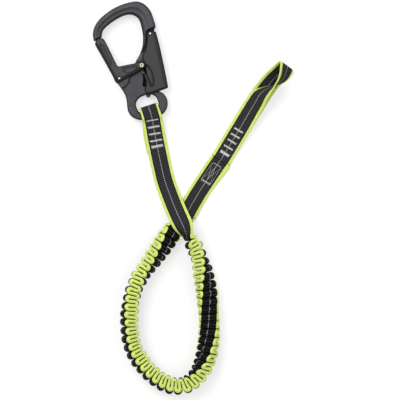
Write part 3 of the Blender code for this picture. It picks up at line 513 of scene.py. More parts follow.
@cache
def metal_group() -> bpy.types.NodeTree:
    """Build the look of anodised or plated metal: grain, stains, rubbing, and painted shade on its sides,
    edges and corners.

    Returns:
        The node group, which gives a colour, a roughness, a height and a rounded normal.
    """
    takes = {
        "Place": "Vector", "Rest Normal": "Vector", "Grain": "Float", "Metal": "Color", "Stained": "Color",
        "Rubbed": "Color", "Shaded": "Color", "Rubbing": "Float", "Dullness": "Float", "Edge Radius": "Float",
        "Fold Shade": "Float",
    }
    gives = {"Color": "Color", "Roughness": "Float", "Height": "Float", "Normal": "Vector"}
    sheet, into = group("metal grain and painted shade", takes, gives)
    pits = sheet.noise(into["Place"], into["Grain"], 3.0)
    stain = sheet.noise(into["Place"], 90.0, 4.0)
    scuffs = {"Vector": into["Place"], "Scale": 420.0, "Detail": 6.0, "Distortion": 1.6}
    scuff = sheet.add("TexNoise", scuffs).outputs["Fac"]
    rubbed = sheet.sum("MULTIPLY", sheet.ramp(scuff, 0.6, 0.74), into["Rubbing"])
    # Painted shade: sides are darker than the faces, and from a smaller tilt on if they look down the picture
    turned = sheet.add("SeparateXYZ", {0: into["Rest Normal"]}).outputs
    up = sheet.sum("ABSOLUTE", turned["Z"])
    low = sheet.ramp(sheet.sum("MULTIPLY", turned["Y"], -1.0), -0.05, 0.25)
    side = sheet.rest_of(sheet.ramp(up, 0.3, 0.96))
    under = sheet.rest_of(sheet.ramp(up, 0.8, 1.02))
    side = sheet.sum("MAXIMUM", side, sheet.sum("MULTIPLY", under, low))
    rounded = sheet.add("Bevel", {"Radius": into["Edge Radius"]}, samples=6).outputs["Normal"]
    true = sheet.add("NewGeometry").outputs["Normal"]
    # Painted shade along edges, where the rounded normal turns from the true one
    same = sheet.add("VectorMath", {0: rounded, 1: true}, operation="DOT_PRODUCT").outputs["Value"]
    edge = sheet.ramp(sheet.sum("ARCCOSINE", sheet.sum("MINIMUM", same, 1.0)), 0.06, 0.5)
    # Painted shade in corners and between parts, from ambient occlusion
    corner = sheet.add("AmbientOcclusion", {"Distance": 0.01}, samples=8).outputs["AO"]
    corner = sheet.rest_of(sheet.ramp(corner, 0.6, 0.985))
    # The painted shade of sides, folds, edges and corners turns the colour to the shaded one
    dark = sheet.sum("MAXIMUM", sheet.sum("MAXIMUM", side, into["Fold Shade"]), sheet.sum("MAXIMUM", edge, corner))
    colour = sheet.blend(sheet.ramp(stain, 0.35, 0.7), into["Metal"], into["Stained"])
    colour = sheet.blend(rubbed, colour, into["Rubbed"])
    colour = sheet.blend(dark, colour, into["Shaded"])
    rough = sheet.sum("MULTIPLY_ADD", stain, 0.16, sheet.sum("SUBTRACT", into["Dullness"], 0.08))
    rough = sheet.sum("SUBTRACT", rough, sheet.sum("MULTIPLY", rubbed, 0.12))
    rough = sheet.sum("MULTIPLY_ADD", dark, 0.25, rough)
    return close_group(sheet, {"Color": colour, "Roughness": rough, "Height": pits, "Normal": rounded})


@cache
def fold_shade_group() -> bpy.types.NodeTree:
    """Build the band of painted shade along a sheet's folded edge: a mask over the distance past a line, at
    rest.

    Returns:
        The node group, which gives the mask.
    """
    takes = {"Place": "Vector", "Outward": "Vector", "Start": "Float", "Full": "Float", "Strength": "Float"}
    sheet, into = group("painted fold shade", takes, {"Mask": "Float"})
    way = {0: into["Place"], 1: into["Outward"]}
    past = sheet.add("VectorMath", way, operation="DOT_PRODUCT").outputs["Value"]
    # The band's start wanders a little
    uneven = sheet.sum("MULTIPLY_ADD", sheet.noise(into["Place"], 160.0, 3.0), 0.0008, -0.0004)
    mask = sheet.ramp(sheet.sum("ADD", past, uneven), into["Start"], into["Full"])
    return close_group(sheet, {"Mask": sheet.sum("MULTIPLY", mask, into["Strength"])})


@cache
def thread_group() -> bpy.types.NodeTree:
    """Build the lay of sewing thread: slanting plies that catch a little dirt.

    Returns:
        The node group, which gives a colour and a height.
    """
    takes = {"Weave": "Vector", "Thread": "Color", "Soiled": "Color"}
    sheet, into = group("twisted thread", takes, {"Color": "Color", "Height": "Float"})
    split = sheet.add("SeparateXYZ", {0: into["Weave"]}).outputs
    slant = sheet.sum("ADD", sheet.sum("MULTIPLY", split["X"], 6.0), sheet.sum("MULTIPLY", split["Y"], 9.0))
    ply = sheet.sum("ABSOLUTE", sheet.sum("SINE", slant))
    between = sheet.sum("MULTIPLY_ADD", ply, -0.7, 1.1)
    soil = sheet.sum("MULTIPLY", sheet.noise(into["Weave"], 1.3, 3.0), between)
    return close_group(sheet, {"Color": sheet.blend(soil, into["Thread"], into["Soiled"]), "Height": ply})


def new_material(name: str) -> tuple[bpy.types.Material, NodeSheet, bpy.types.Node]:
    """Start a material with its shader.

    Args:
        name: the material's name.

    Returns:
        The material, a sheet for its nodes, and its Principled BSDF.
    """
    material = bpy.data.materials.new(name)
    material.use_nodes = True
    return material, NodeSheet(material.node_tree), material.node_tree.nodes["Principled BSDF"]


def emboss(sheet: NodeSheet, shader: bpy.types.Node, inputs: dict) -> None:
    """Let a height stand up from a surface, as a bump node's inputs say."""
    sheet.feed(shader, {"Normal": sheet.add("Bump", inputs).outputs["Normal"]})


@dataclass(frozen=True)
class WebbingFinish:
    """Polyamide webbing with a dark ribbed body and bright woven edges."""

    name: str
    rib_pitch: float = 2.2
    edge_start: float = 9.2
    body: Colour = (76, 78, 80)
    # The darker body, edge and crease colours are painted shade: between the ribs, in the edges' twill, and
    # where the cloth folds
    body_shaded: Colour = (1, 1, 1)
    edge: Colour = (243, 255, 148)
    edge_shaded: Colour = (221, 243, 104)
    tracer: Colour = (158, 160, 156)
    crease_shade: Colour = (26, 30, 8)
    crease_depth: float = 0.004
    creased: float = 0.35
    sheen: float = 0.015
    shine: float = 0.08
    depth: float = 0.0004

    def material(self) -> bpy.types.Material:
        """Make the material.

        Returns:
            The material, for webbing with a weave layer.
        """
        made, sheet, shader = new_material(self.name)
        cloth = sheet.add("Group", {
            "Weave": sheet.add("UVMap", uv_map=WEAVE_LAYER).outputs["UV"], "Rib Pitch": self.rib_pitch,
            "Edge Start": self.edge_start, "Body": rgba(self.body), "Body Shaded": rgba(self.body_shaded),
            "Edge": rgba(self.edge), "Edge Shaded": rgba(self.edge_shaded), "Tracer": rgba(self.tracer),
            "Crease Shade": rgba(self.crease_shade), "Crease Depth": self.crease_depth, "Creased": self.creased,
        }, node_tree=woven_group()).outputs
        sheet.feed(shader, {
            "Base Color": cloth["Color"], "Roughness": cloth["Roughness"], "Sheen Weight": self.sheen,
            "Sheen Roughness": 0.5, "Specular IOR Level": self.shine,
        })
        emboss(sheet, shader, {"Height": cloth["Height"], "Distance": self.depth, "Strength": 0.9})
        return made


@dataclass(frozen=True)
class ThreadFinish:
    """Bonded sewing thread."""

    name: str
    thread: Colour = (253, 253, 250)
    soiled: Colour = (228, 228, 223)
    dullness: float = 0.55
    shine: float = 0.35
    depth: float = 0.00008

    def material(self) -> bpy.types.Material:
        """Make the material.

        Returns:
            The material, for thread with a weave layer.
        """
        made, sheet, shader = new_material(self.name)
        ply = sheet.add("Group", {
            "Weave": sheet.add("UVMap", uv_map=WEAVE_LAYER).outputs["UV"], "Thread": rgba(self.thread),
            "Soiled": rgba(self.soiled),
        }, node_tree=thread_group()).outputs
        sheet.feed(shader, {
            "Base Color": ply["Color"], "Roughness": self.dullness, "Specular IOR Level": self.shine})
        emboss(sheet, shader, {"Height": ply["Height"], "Distance": self.depth, "Strength": 0.8})
        return made


@dataclass(frozen=True)
class Fold:
    """A sheet's folded edge: the way out past it on the floor, and where its band of painted shade starts and
    is full.
    """

    outward: Pair
    start: float
    full: float
    strength: float = 1.0


@dataclass(frozen=True)
class MetalFinish:
    """A metal with a fine grain, anodised, drawn or plated, and with painted shade at its sides, edges,
    corners and folds.
    """

    name: str
    metal: Colour
    stained: Colour
    rubbed: Colour
    shaded: Colour = (12, 12, 13)
    rubbing: float = 0.3
    dullness: float = 0.4
    metallic: float = 1.0
    grain: float = 2600.0
    depth: float = 0.00003
    edge_radius: float = 0.0006
    folds: tuple[Fold, ...] = ()

    def material(self) -> bpy.types.Material:
        """Make the material.

        Returns:
            The material, whose grain follows the object's own coordinates.
        """
        made, sheet, shader = new_material(self.name)
        place = sheet.add("TexCoord").outputs
        # Bands of painted shade along the folded edges
        fold_shades: object = 0.0
        for fold in self.folds:
            band = sheet.add("Group", {
                "Place": place["Object"], "Outward": (*fold.outward, 0.0), "Start": fold.start,
                "Full": fold.full, "Strength": fold.strength,
            }, node_tree=fold_shade_group())
            fold_shades = sheet.sum("MAXIMUM", fold_shades, band.outputs["Mask"])
        # The grain group's colour holds the painted shade as well as the grain
        grain = sheet.add("Group", {
            "Place": place["Object"], "Rest Normal": place["Normal"], "Grain": self.grain,
            "Metal": rgba(self.metal), "Stained": rgba(self.stained), "Rubbed": rgba(self.rubbed),
            "Shaded": rgba(self.shaded), "Rubbing": self.rubbing, "Dullness": self.dullness,
            "Edge Radius": self.edge_radius, "Fold Shade": fold_shades,
        }, node_tree=metal_group()).outputs
        sheet.feed(shader, {
            "Base Color": grain["Color"], "Roughness": grain["Roughness"], "Metallic": self.metallic})
        emboss(sheet, shader, {
            "Height": grain["Height"], "Distance": self.depth, "Strength": 0.5, "Normal": grain["Normal"]})
        return made


ANODISED = MetalFinish(
    "anodised aluminium", metal=(68, 68, 73), stained=(58, 59, 63), rubbed=(92, 93, 98), shaded=(6, 7, 7),
    rubbing=0.1, dullness=0.42, metallic=0.3, edge_radius=0.0018)
# The levers' folds are bands of painted shade along their edges
PALM_ANODISED = MetalFinish(
    "anodised palm lever", metal=(54, 54, 57), stained=(48, 49, 51), rubbed=(88, 89, 92), shaded=(6, 7, 7),
    rubbing=0.1, dullness=0.38, metallic=0.3, edge_radius=0.0032,
    folds=(Fold((0.976, 0.217), 0.0302, 0.0356, 0.8), Fold((0.35, -0.937), 0.0424, 0.0438)))
GATE_ANODISED = MetalFinish(
    "anodised gate", metal=(62, 62, 65), stained=(54, 55, 57), rubbed=(88, 89, 92), shaded=(6, 7, 7),
    rubbing=0.1, dullness=0.38, metallic=0.3, edge_radius=0.0032,
    folds=(Fold((-0.870, -0.493), 0.0232, 0.0248, 0.92), Fold((0.496, -0.870), 0.0116, 0.0126)))
STEEL = MetalFinish(
    "bright steel", metal=(232, 232, 230), stained=(214, 214, 212), rubbed=(240, 240, 240),
    shaded=(90, 90, 90), dullness=0.3, metallic=0.6)
RIVET = MetalFinish(
    "pale brass", metal=(226, 222, 188), stained=(204, 198, 160), rubbed=(240, 238, 214),
    shaded=(70, 68, 52), dullness=0.3, metallic=0.6)
SPRING = MetalFinish(
    "spring steel", metal=(150, 150, 152), stained=(124, 124, 126), rubbed=(180, 180, 180),
    shaded=(40, 40, 40), rubbing=0.2, dullness=0.32)
FLAT_ELASTIC = MetalFinish(
    "flat elastic", metal=(30, 30, 32), stained=(22, 22, 24), rubbed=(40, 40, 42), shaded=(10, 10, 10),
    rubbing=0.1, dullness=0.85, metallic=0.0, grain=1800.0, depth=0.00004)
STRAP_WEBBING = WebbingFinish("strap webbing")
GATHER_WEBBING = WebbingFinish(
    "gathered webbing", edge_start=9.0, body=(38, 38, 39), body_shaded=(2, 2, 2), creased=0.95, depth=0.00035)
BAR_THREAD = ThreadFinish("bar-tack thread")
BOX_THREAD = ThreadFinish("box stitch thread", thread=(226, 226, 220), soiled=(150, 150, 146))


# The studio


@dataclass(frozen=True)
class Lamp:
    """A square lamp: its place from the middle of the picture, its size and its power."""

    name: str
    offset: Triple
    size: float
    power: float


@dataclass
class Studio:
    """Camera, floor and soft lights. The camera looks straight down on a pale floor."""

    middle: Pair
    width: float = 0.480
    focus_height: float = 0.007
    lens: float = 135.0
    sensor: float = 36.0
    clip: Pair = (0.05, 20.0)
    room_light: float = 0.5
    floor_reach: float = 3.0
    floor_drop: float = 0.0002
    floor_grey: float = 0.5
    floor_glow: float = 0.58
    lamps: tuple[Lamp, ...] = (
        Lamp("window", (-0.75, 0.85, 1.5), 1.2, 20.0),
        Lamp("fill", (1.1, 0.1, 1.2), 1.1, 6.0),
    )

    def camera(self) -> None:
        """Set the camera over the middle of the picture, so that the floor fills its width."""
        camera = bpy.data.cameras.new("camera")
        camera.lens, camera.sensor_width = self.lens, self.sensor
        camera.clip_start, camera.clip_end = self.clip
        holder = bpy.data.objects.new("camera", camera)
        holder.location = (*self.middle, self.focus_height + self.width * self.lens / self.sensor)
        bpy.context.scene.collection.objects.link(holder)
        bpy.context.scene.camera = holder

    def hang(self, lamp: Lamp) -> None:
        """Hang a lamp that faces the middle of the picture.

        Args:
            lamp: the lamp.
        """
        light = bpy.data.lights.new(lamp.name, "AREA")
        light.size, light.energy = lamp.size, lamp.power
        holder = bpy.data.objects.new(lamp.name, light)
        x, y, z = lamp.offset
        holder.location = (self.middle[0] + x, self.middle[1] + y, z)
        toward = Vector((*self.middle, 0.0)) - holder.location
        holder.rotation_euler = toward.to_track_quat("-Z", "Y").to_euler()
        bpy.context.scene.collection.objects.link(holder)

    def room(self) -> None:
        """Light the room evenly, in white."""
        world = bpy.data.worlds.new("room")
        world.use_nodes = True
        NodeSheet(world.node_tree).feed(
            world.node_tree.nodes["Background"], {"Color": (1.0, 1.0, 1.0, 1.0), "Strength": self.room_light})
        bpy.context.scene.world = world

    def floor(self) -> None:
        """Lay a pale floor that the camera sees as white, with the object's shadow."""
        reach, down = self.floor_reach, -self.floor_drop
        corners = [(-reach, -reach, down), (reach, -reach, down), (reach, reach, down), (-reach, reach, down)]
        plane = mesh_object("floor", np.array(corners), [(0, 1, 2, 3)])
        material, sheet, shader = new_material("pale floor")
        grey = (self.floor_grey, self.floor_grey, self.floor_grey, 1.0)
        sheet.feed(shader, {"Base Color": grey, "Roughness": 0.9, "Specular IOR Level": 0.1})
        rays = sheet.add("LightPath").outputs
        seen = sheet.sum("MAXIMUM", rays["Is Camera Ray"], rays["Is Glossy Ray"])
        seen = sheet.sum("MAXIMUM", seen, rays["Is Transmission Ray"])
        strength = sheet.sum("MULTIPLY", seen, self.floor_glow)
        glow = sheet.add("Emission", {"Color": (1.0, 1.0, 1.0, 1.0), "Strength": strength})
        both = sheet.add("AddShader", {0: shader.outputs[0], 1: glow.outputs[0]})
        sheet.feed(sheet.tree.nodes["Material Output"], {"Surface": both.outputs[0]})
        plane.data.materials.append(material)

    def build(self) -> None:
        """Set up the camera, the lights and the floor."""
        bpy.context.scene.view_settings.view_transform = "Standard"
        self.camera()
        for lamp in self.lamps:
            self.hang(lamp)
        self.room()
        self.floor()
        log.info("studio: camera, %d lamps and floor", len(self.lamps))


# The webbing


@dataclass
class Strap:
    """A length of flat tubular webbing over its ribbon."""

    name: str
    ribbon: Ribbon
    widths: np.ndarray
    thicknesses: np.ndarray
    corners: int = 36
    squareness: float = 0.62
    bead_from: float = 0.76
    bead_rise: float = 0.12
    edge_swell: float = 0.14
    flatness: int = 9
    spread: np.ndarray | float = 0.0

    def section(self, width: float, thickness: float) -> np.ndarray:
        """Draw the strap's section: flat faces and beaded edges.

        Args:
            width: its width there.
            thickness: its thickness there.

        Returns:
            The points round it, across and through.
        """
        half, edge = width / 2, thickness / 2
        turn = np.linspace(0.0, 2 * math.pi, self.corners, endpoint=False)
        across = half * np.sign(np.cos(turn)) * np.abs(np.cos(turn)) ** self.squareness
        share = np.abs(across) / half
        bead = 1.0 + self.edge_swell * np.clip((share - self.bead_from) / self.bead_rise, 0.0, 1.0)
        flat = np.sqrt(np.clip(1.0 - share**self.flatness, 0.0, 1.0))
        return np.stack([across, edge * bead * np.sign(np.sin(turn)) * flat], axis=1)

    def weave(self) -> bpy.types.Object:
        """Make the strap's mesh.

        Returns:
            The object, with each point's place in the cloth as its weave layer.
        """
        points, across = [], []
        line = self.ribbon
        spreads = np.broadcast_to(self.spread, len(line.along))
        for centre, side, normal, width, thick, spread in zip(
                line.centres, line.sides, line.normals, self.widths, self.thicknesses, spreads):
            section = self.section(width + abs(spread), thick) + np.array([spread / 2, 0.0])
            points.append(centre + section[:, :1] * side + section[:, 1:] * normal)
            across.append(section[:, 0])
        thing = mesh_object(self.name, np.concatenate(points), skin_faces(len(points), self.corners))
        lay_weave(thing, np.concatenate(across), np.repeat(line.along, self.corners))
        return thing


@dataclass
class Stitches:
    """Thread sewn through a strap: bar-tacks, which are dense zigzags across it, and plain rows.

    A zag's points are shares of the pitch across, of its reach along, and of the thread's radius off
    the cloth. A stitch's points are shares of its length along, and of the radius in the ribbon's
    thickness direction.
    """

    ribbon: Ribbon
    radius: float = 0.00024
    pitch: float = 0.0006
    reach: Pair = (0.82, 1.05)
    zag: tuple[Triple, ...] = ((-0.2, 0.96, -1.6), (0.0, 1.0, 0.0), (0.25, 0.5, 0.9))
    stitch: tuple[Pair, ...] = ((0.12, -1.6), (0.3, 0.4), (0.5, 0.9), (0.7, 0.4), (0.88, -1.6))
    seed: int = 5

    def bar(self, at: float, lift: float, width: float, depth: float) -> np.ndarray:
        """Draw the line of one bar-tack's thread.

        Args:
            at: its distance along the ribbon.
            lift: how far off the ribbon's middle it lies.
            width: its size across the ribbon.
            depth: its size along the ribbon.

        Returns:
            The points that the thread follows.
        """
        # Each bar-tack has draws of its own, by where it lies
        chance = np.random.default_rng(self.seed + int(at * 1e4))
        count, off_cloth = int(width / self.pitch), math.copysign(1.0, lift) * self.radius
        points = []
        for k in range(count + 1):
            across = width * (k / count - 0.5)
            end = depth / 2 * (1 if k % 2 else -1) * chance.uniform(*self.reach)
            for aside, share, off in self.zag:
                points.append(self.ribbon.place(
                    across + self.pitch * aside, at + end * share, lift + off_cloth * off))
        return np.array(points)

    def bars(
        self, tacks: tuple[Pair, ...], run: tuple[int, int], lift: float, width: float,
    ) -> list[np.ndarray]:
        """Draw the bar-tacks on a run of the ribbon.

        Args:
            tacks: the mark and the depth of each.
            run: the run's first row, and the row after its last.
            lift: how far off the ribbon's middle they lie.
            width: their size across the ribbon.

        Returns:
            A line of thread for each.
        """
        return [self.bar(self.ribbon.spot_of(mark, *run), lift, width, depth) for mark, depth in tacks]

    def row(self, start: Pair, stop: Pair, lift: float, length: float) -> list[np.ndarray]:
        """Draw a straight row of single stitches, each dipping into the cloth at its ends.

        Args:
            start: where the row starts, across and along the ribbon.
            stop: where it ends.
            lift: how far off the ribbon's middle it lies.
            length: the length of a stitch with its gap.

        Returns:
            A line of thread for each stitch.
        """
        threads, corners = [], np.array([start, stop])
        along = distances(corners)
        shares, drops = np.array(self.stitch).T
        for k in range(int(along[-1] / length)):
            spots = (k + shares) * length
            across, at = (np.interp(spots, along, column) for column in corners.T)
            threads.append(np.array([
                self.ribbon.place(a, b, lift + drop) for a, b, drop in zip(across, at, drops * self.radius)]))
        return threads


@dataclass
class HookStrap:
    """The strap from its sewn tail, round the bar of the hook's eye, and down to the gathers.

    Each row of the fold is a distance along the route, a height and a roll in degrees. Each tack is a
    distance along the route and a depth.
    """

    route: Route
    length: float = 0.163
    step: float = 0.0012
    width: float = 0.025
    eye_width: float = 0.0228
    thickness: float = 0.002
    end_thickness: float = 0.004
    swell: float = 0.012
    narrow: Pair = (0.006, 0.024)
    bend: Pair = (0.022, 0.0115)
    tail_shift: float = -0.0013
    shift_start: float = 0.018
    shift_span: float = 0.014
    tacks: tuple[Pair, ...] = (
        (0.0182, 0.0023), (0.0269, 0.0023), (0.035, 0.0023), (0.0433, 0.0023), (0.0503, 0.0034))
    tack_width: float = 0.014
    tack_lift: float = 1.1
    fold: tuple[Triple, ...] = (
        (0.057, 0.00115, 0), (0.052, 0.00145, 0), (0.044, 0.0026, 0), (0.034, 0.0045, 0),
        (0.026, 0.0058, 0), (0.0205, 0.00625, 0), (0.0188, 0.0056, 0), (0.0174, 0.004, 0),
        (0.0155, 0.00275, 0), (0.0125, 0.0024, 0), (0.0075, 0.0024, 0), (0.004, 0.0032, 0),
        (0.0017, 0.0051, 0), (0.001, 0.0075, 0), (0.0017, 0.0099, 0), (0.004, 0.0118, 0),
        (0.0075, 0.0126, 0), (0.0125, 0.0126, 0), (0.0155, 0.01225, 0), (0.0174, 0.011, 0),
        (0.0188, 0.0094, 0), (0.0205, 0.00875, 0), (0.026, 0.0083, 0), (0.034, 0.007, 0),
        (0.044, 0.0051, 0), (0.054, 0.0038, 0), (0.061, 0.0031, 0), (0.068, 0.0019, 0),
        (0.076, 0.0012, 0), (0.086, 0.0011, 0), (0.096, 0.0013, 0), (0.106, 0.0022, 0),
        (0.116, 0.0049, 0), (0.127, 0.0102, 0), (0.137, 0.0156, 2), (0.147, 0.0189, 11),
        (0.155, 0.0192, 31), (0.163, 0.017, 58),
    )

    def lay(self) -> Ribbon:
        """Lay out the line that the strap follows, its tail a little to the picture's left.

        Returns:
            The ribbon, from the tail's end round the eye's bar to the gathers.
        """
        rows = spaced(self.fold, self.step, 2)
        points, headings = self.route.read(rows[:, 0])
        tip = int(np.argmin(rows[:, 0]))
        shift = np.zeros(len(rows))
        share = np.clip((rows[:tip, 0] - self.shift_start) / self.shift_span, 0.0, 1.0)
        shift[:tip] = self.tail_shift * share
        left = np.column_stack([-headings[:, 1], headings[:, 0]])
        points = points + left * shift[:, None]
        return Ribbon(np.column_stack([points, rows[:, 1]]), sides_of(headings, rows[:, 2]), rows[:, 0])

    def sew(self, ribbon: Ribbon, tip: int) -> bpy.types.Object:
        """Sew the bar-tacks, which show on top of the strap and under its tail.

        Args:
            ribbon: the line that the strap follows.
            tip: its row at the fold.

        Returns:
            The thread.
        """
        stitches, lines = Stitches(ribbon), []
        lift = self.thickness / 2 + stitches.radius * self.tack_lift
        # The thickness direction turns over at the fold, so it is read for each run
        for run, face in (((tip, len(ribbon.centres)), Side.TOP), ((0, tip), Side.UNDER)):
            up = ribbon.upward(sum(run) // 2) * face.value
            lines += stitches.bars(self.tacks, run, lift * up, self.tack_width)
        return tube_along("hook_bar_tacks", lines, stitches.radius)

    def build(self) -> Ribbon:
        """Returns:
            The ribbon, whose end the gathers take over.
        """
        ribbon = self.lay()
        tip = int(np.argmin(ribbon.marks))
        widths = np.interp(ribbon.marks, self.narrow, [self.eye_width, self.width])
        thick = np.full(len(ribbon.marks), self.thickness)
        swelling = [self.length - self.swell, self.length]
        thick[tip:] = np.interp(ribbon.marks[tip:], swelling, [self.thickness, self.end_thickness])
        strap = Strap("hook_strap_webbing", ribbon, widths, thick).weave()
        strap.data.materials.append(STRAP_WEBBING.material())
        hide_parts("hook_strap")
        tacks = self.sew(ribbon, tip)
        tacks.data.materials.append(BAR_THREAD.material())
        low, high = self.route.read(self.bend)[0]
        for thing in (strap, tacks):
            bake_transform(thing)
        log.info("hook strap: %.0f mm from the fold, tail %.0f mm", self.length / MM, self.fold[0][0] / MM)
        return ribbon


@dataclass
class Gathers:
    """The webbing between the straps, gathered over its elastic: a flat tube that winds to and fro.

    Each pose is a share of its length, a height and a roll in degrees.
    """

    route: Route
    start: float = 0.1633
    count: int = 48
    per_gather: int = 28
    corners: int = 28
    width: float = 0.024
    cloth_width: float = 0.025
    thickness: float = 0.0041
    sway: float = 0.0056
    bulge: float = 0.003
    rest: float = 0.0002
    fullness: float = 1.25
    head_start: float = 0.1
    opening_gathers: float = 1.6
    closing_gathers: float = 5.0
    eased: float = 0.55
    straight: float = 0.45
    tall: Pair = (0.93, 1.06)
    lean: Pair = (-0.12, 0.08)
    tightening: float = 1.4
    room: float = 0.97
    turn_points: int = 33
    line_steps: int = 6
    path_points: int = 97
    seed: int = 11
    poses: tuple[Triple, ...] = (
        (0, 0.0168, 59), (0.025, 0.0148, 76), (0.06, 0.0133, 95), (0.1, 0.0131, 118),
        (0.15, 0.0133, 150), (0.21, 0.012, 175), (0.25, 0.012, 188), (0.29, 0.0126, 204),
        (0.33, 0.0133, 223), (0.37, 0.0132, 247), (0.41, 0.0129, 270), (0.46, 0.0126, 285),
        (0.53, 0.0126, 290), (0.61, 0.013, 292), (0.68, 0.0132, 290), (0.74, 0.0131, 277),
        (0.79, 0.0129, 263), (0.83, 0.0127, 250), (0.87, 0.0128, 236), (0.91, 0.0115, 217),
        (0.94, 0.0088, 201), (0.965, 0.0063, 191), (0.985, 0.0042, 186), (1, 0.0033, 183),
    )

    def pitch(self) -> float:
        """Return the length of one gather."""
        return (self.route.length() - self.start) / self.count

    def frames(self, shares: np.ndarray) -> Ribbon:
        """Read the line through the gathers.

        Args:
            shares: places along it, as shares of its length.

        Returns:
            The line there, with its directions.
        """
        points, headings = self.route.read(self.start + shares * (self.route.length() - self.start))
        rows = np.array(self.poses, float)
        poses = curve_through(rows[:, 1:], rows[:, 0], shares)
        return Ribbon(np.column_stack([points, poses[:, 0]]), sides_of(headings, poses[:, 1]), shares)

    def section(self) -> tuple[np.ndarray, np.ndarray, np.ndarray]:
        """Return the flat tube's section.

        Returns:
            Its places across, its places through as shares of half the thickness, and the cloth's
            own distance from its middle, which runs round the edges.
        """
        turn = np.linspace(0.0, 2 * math.pi, self.corners, endpoint=False)
        half, edge = self.width / 2, self.thickness / 2
        flat = half - edge
        across = flat * np.clip(np.cos(turn) * self.fullness, -1.0, 1.0)
        spare = self.fullness - 1.0
        sharp = np.clip(np.abs(np.cos(turn)) * self.fullness - 1.0, 0.0, spare) / spare
        across += np.sign(across) * edge * np.sin(sharp * math.pi / 2)
        through = np.sign(np.sin(turn)) * np.cos(sharp * math.pi / 2)
        around = distances(np.stack([across, through * edge], axis=1))
        quarter = around[self.corners // 2] / 2
        to_front = np.abs(around - quarter)
        to_back = np.abs(around - 3 * quarter)
        from_middle = np.minimum(to_front, to_back) * np.sign(across)
        return across, through, from_middle * self.cloth_width / 2 / quarter

    def grown(self, at: np.ndarray) -> np.ndarray:
        """Work out how far the gathers have opened.

        Args:
            at: places along them, as counts of gathers from the start.

        Returns:
            Shares, 0 to 1.
        """
        opening = np.clip((at + self.head_start) / self.opening_gathers, 0.0, 1.0)
        closing = np.clip((self.count - at) / self.closing_gathers, 0.0, 1.0)
        share = np.minimum(opening, closing)
        return share * share * (3 - 2 * share) * self.eased + share * self.straight

    def winding(self) -> tuple[np.ndarray, np.ndarray]:
        """Draw one full gather: strokes across joined by round turns, at even steps along them.

        Returns:
            How far along the tether each step lies, and how far off its middle line.
        """
        quarter = self.pitch() / 4
        stroke = self.sway - quarter
        turn = np.linspace(0.0, math.pi, self.turn_points)
        there = np.stack([2 * quarter - quarter * np.cos(turn), stroke + quarter * np.sin(turn)], axis=1)
        back = np.stack([4 * quarter - quarter * np.cos(turn), -stroke - quarter * np.sin(turn)], axis=1)
        line = np.concatenate([[(quarter, 0.0)], there, back, [(5 * quarter, 0.0)]])
        spots = np.linspace(0.0, distances(line)[-1], self.per_gather + 1)
        reach, offset = (np.interp(spots, distances(line), column) for column in line.T)
        return reach - quarter, offset

    def wound(self) -> tuple[np.ndarray, np.ndarray, np.ndarray]:
        """Wind the tube's middle to and fro, each gather a little different from the next.

        Returns:
            How far along the tether each ring of the mesh lies, how far off its middle line, and how
            much it leans.
        """
        chance = np.random.default_rng(self.seed)
        turns = np.linspace(0.0, self.count, self.count * self.per_gather + 1)
        knots = np.arange(self.count + 1)
        tall = np.interp(turns, knots, chance.uniform(*self.tall, self.count + 1))
        lean = np.interp(turns, knots, chance.uniform(*self.lean, self.count + 1))
        open_share = self.grown(turns)
        pitch, tight = self.pitch(), np.clip(open_share * self.tightening, 0.0, 1.0)
        step = np.arange(len(turns)) % self.per_gather
        wave, swing = (column[step] for column in self.winding())
        reach = pitch * np.floor(turns + 1e-6) + tight * wave + (1 - tight) * pitch * step / self.per_gather
        return reach, swing * open_share * tall, lean

    def swept(
        self, rings: tuple[np.ndarray, np.ndarray, np.ndarray], across: np.ndarray, through: np.ndarray,
    ) -> tuple[np.ndarray, np.ndarray]:
        """Sweep the tube's section along its middle.

        Args:
            rings: the tube's middle, as it is wound.
            across: the section's places across.
            through: its places through, as shares of half the thickness.

        Returns:
            How far along the tether each point lies, and how far off its middle line, with one row for
            each ring.
        """
        reach, swing, lean = rings
        run, rise = np.gradient(reach), np.gradient(swing)
        size = np.sqrt(run**2 + rise**2)
        bend = (run * np.gradient(rise) - rise * np.gradient(run)) / size**3
        # The tube's inner side can't reach past the middle of a turn
        room = self.room / np.maximum(np.abs(bend) * self.thickness / 2, self.room)
        inner = (through * bend[:, None]) > 0
        half = self.thickness / 2 * through * np.where(inner, room[:, None], 1.0)
        fuller = 1 + self.bulge / self.sway * (1 - (np.abs(across) / (self.width / 2)) ** 2)
        offset = swing[:, None] * fuller
        along = reach[:, None] - half * (rise / size)[:, None] + lean[:, None] * offset
        return along, offset + half * (run / size)[:, None]

    def weave(self) -> bpy.types.Object:
        """Make the mesh: rings across the winding tube, each at its place along the line.

        Returns:
            The object, with each point's place in the cloth as its weave layer.
        """
        rings = self.wound()
        across, through, cloth = self.section()
        along, lift = self.swept(rings, across, through)
        line = self.frames(np.linspace(0.0, 1.0, self.count * self.line_steps + 1))
        total = self.pitch() * self.count
        place = np.clip(along, 0.0, total) / total
        read = [np.interp(place.ravel(), line.marks, column).reshape(place.shape)
                for column in np.column_stack([line.centres, line.sides, line.normals]).T]
        centre, side, normal = (np.stack(read[i:i + 3], axis=2) for i in (0, 3, 6))
        points = centre + side * np.broadcast_to(across, place.shape)[:, :, None] + normal * lift[:, :, None]
        points[:, :, 2] = np.maximum(points[:, :, 2], self.rest)
        thing = mesh_object("gathers", points.reshape(-1, 3), skin_faces(len(along), self.corners))
        wound = distances(np.stack(rings[:2], axis=1))
        lay_weave(thing, np.tile(cloth, len(along)), np.repeat(wound, self.corners))
        return thing

    def build(self) -> None:
        thing = self.weave()
        thing.data.materials.append(GATHER_WEBBING.material())
        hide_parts("gathered_webbing")
        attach(thing, Part.TETHER.value)
        path = self.frames(np.linspace(0.0, 1.0, self.path_points)).centres
        log.info("gathers: %d over %.0f mm", self.count, distances(path)[-1] / MM)


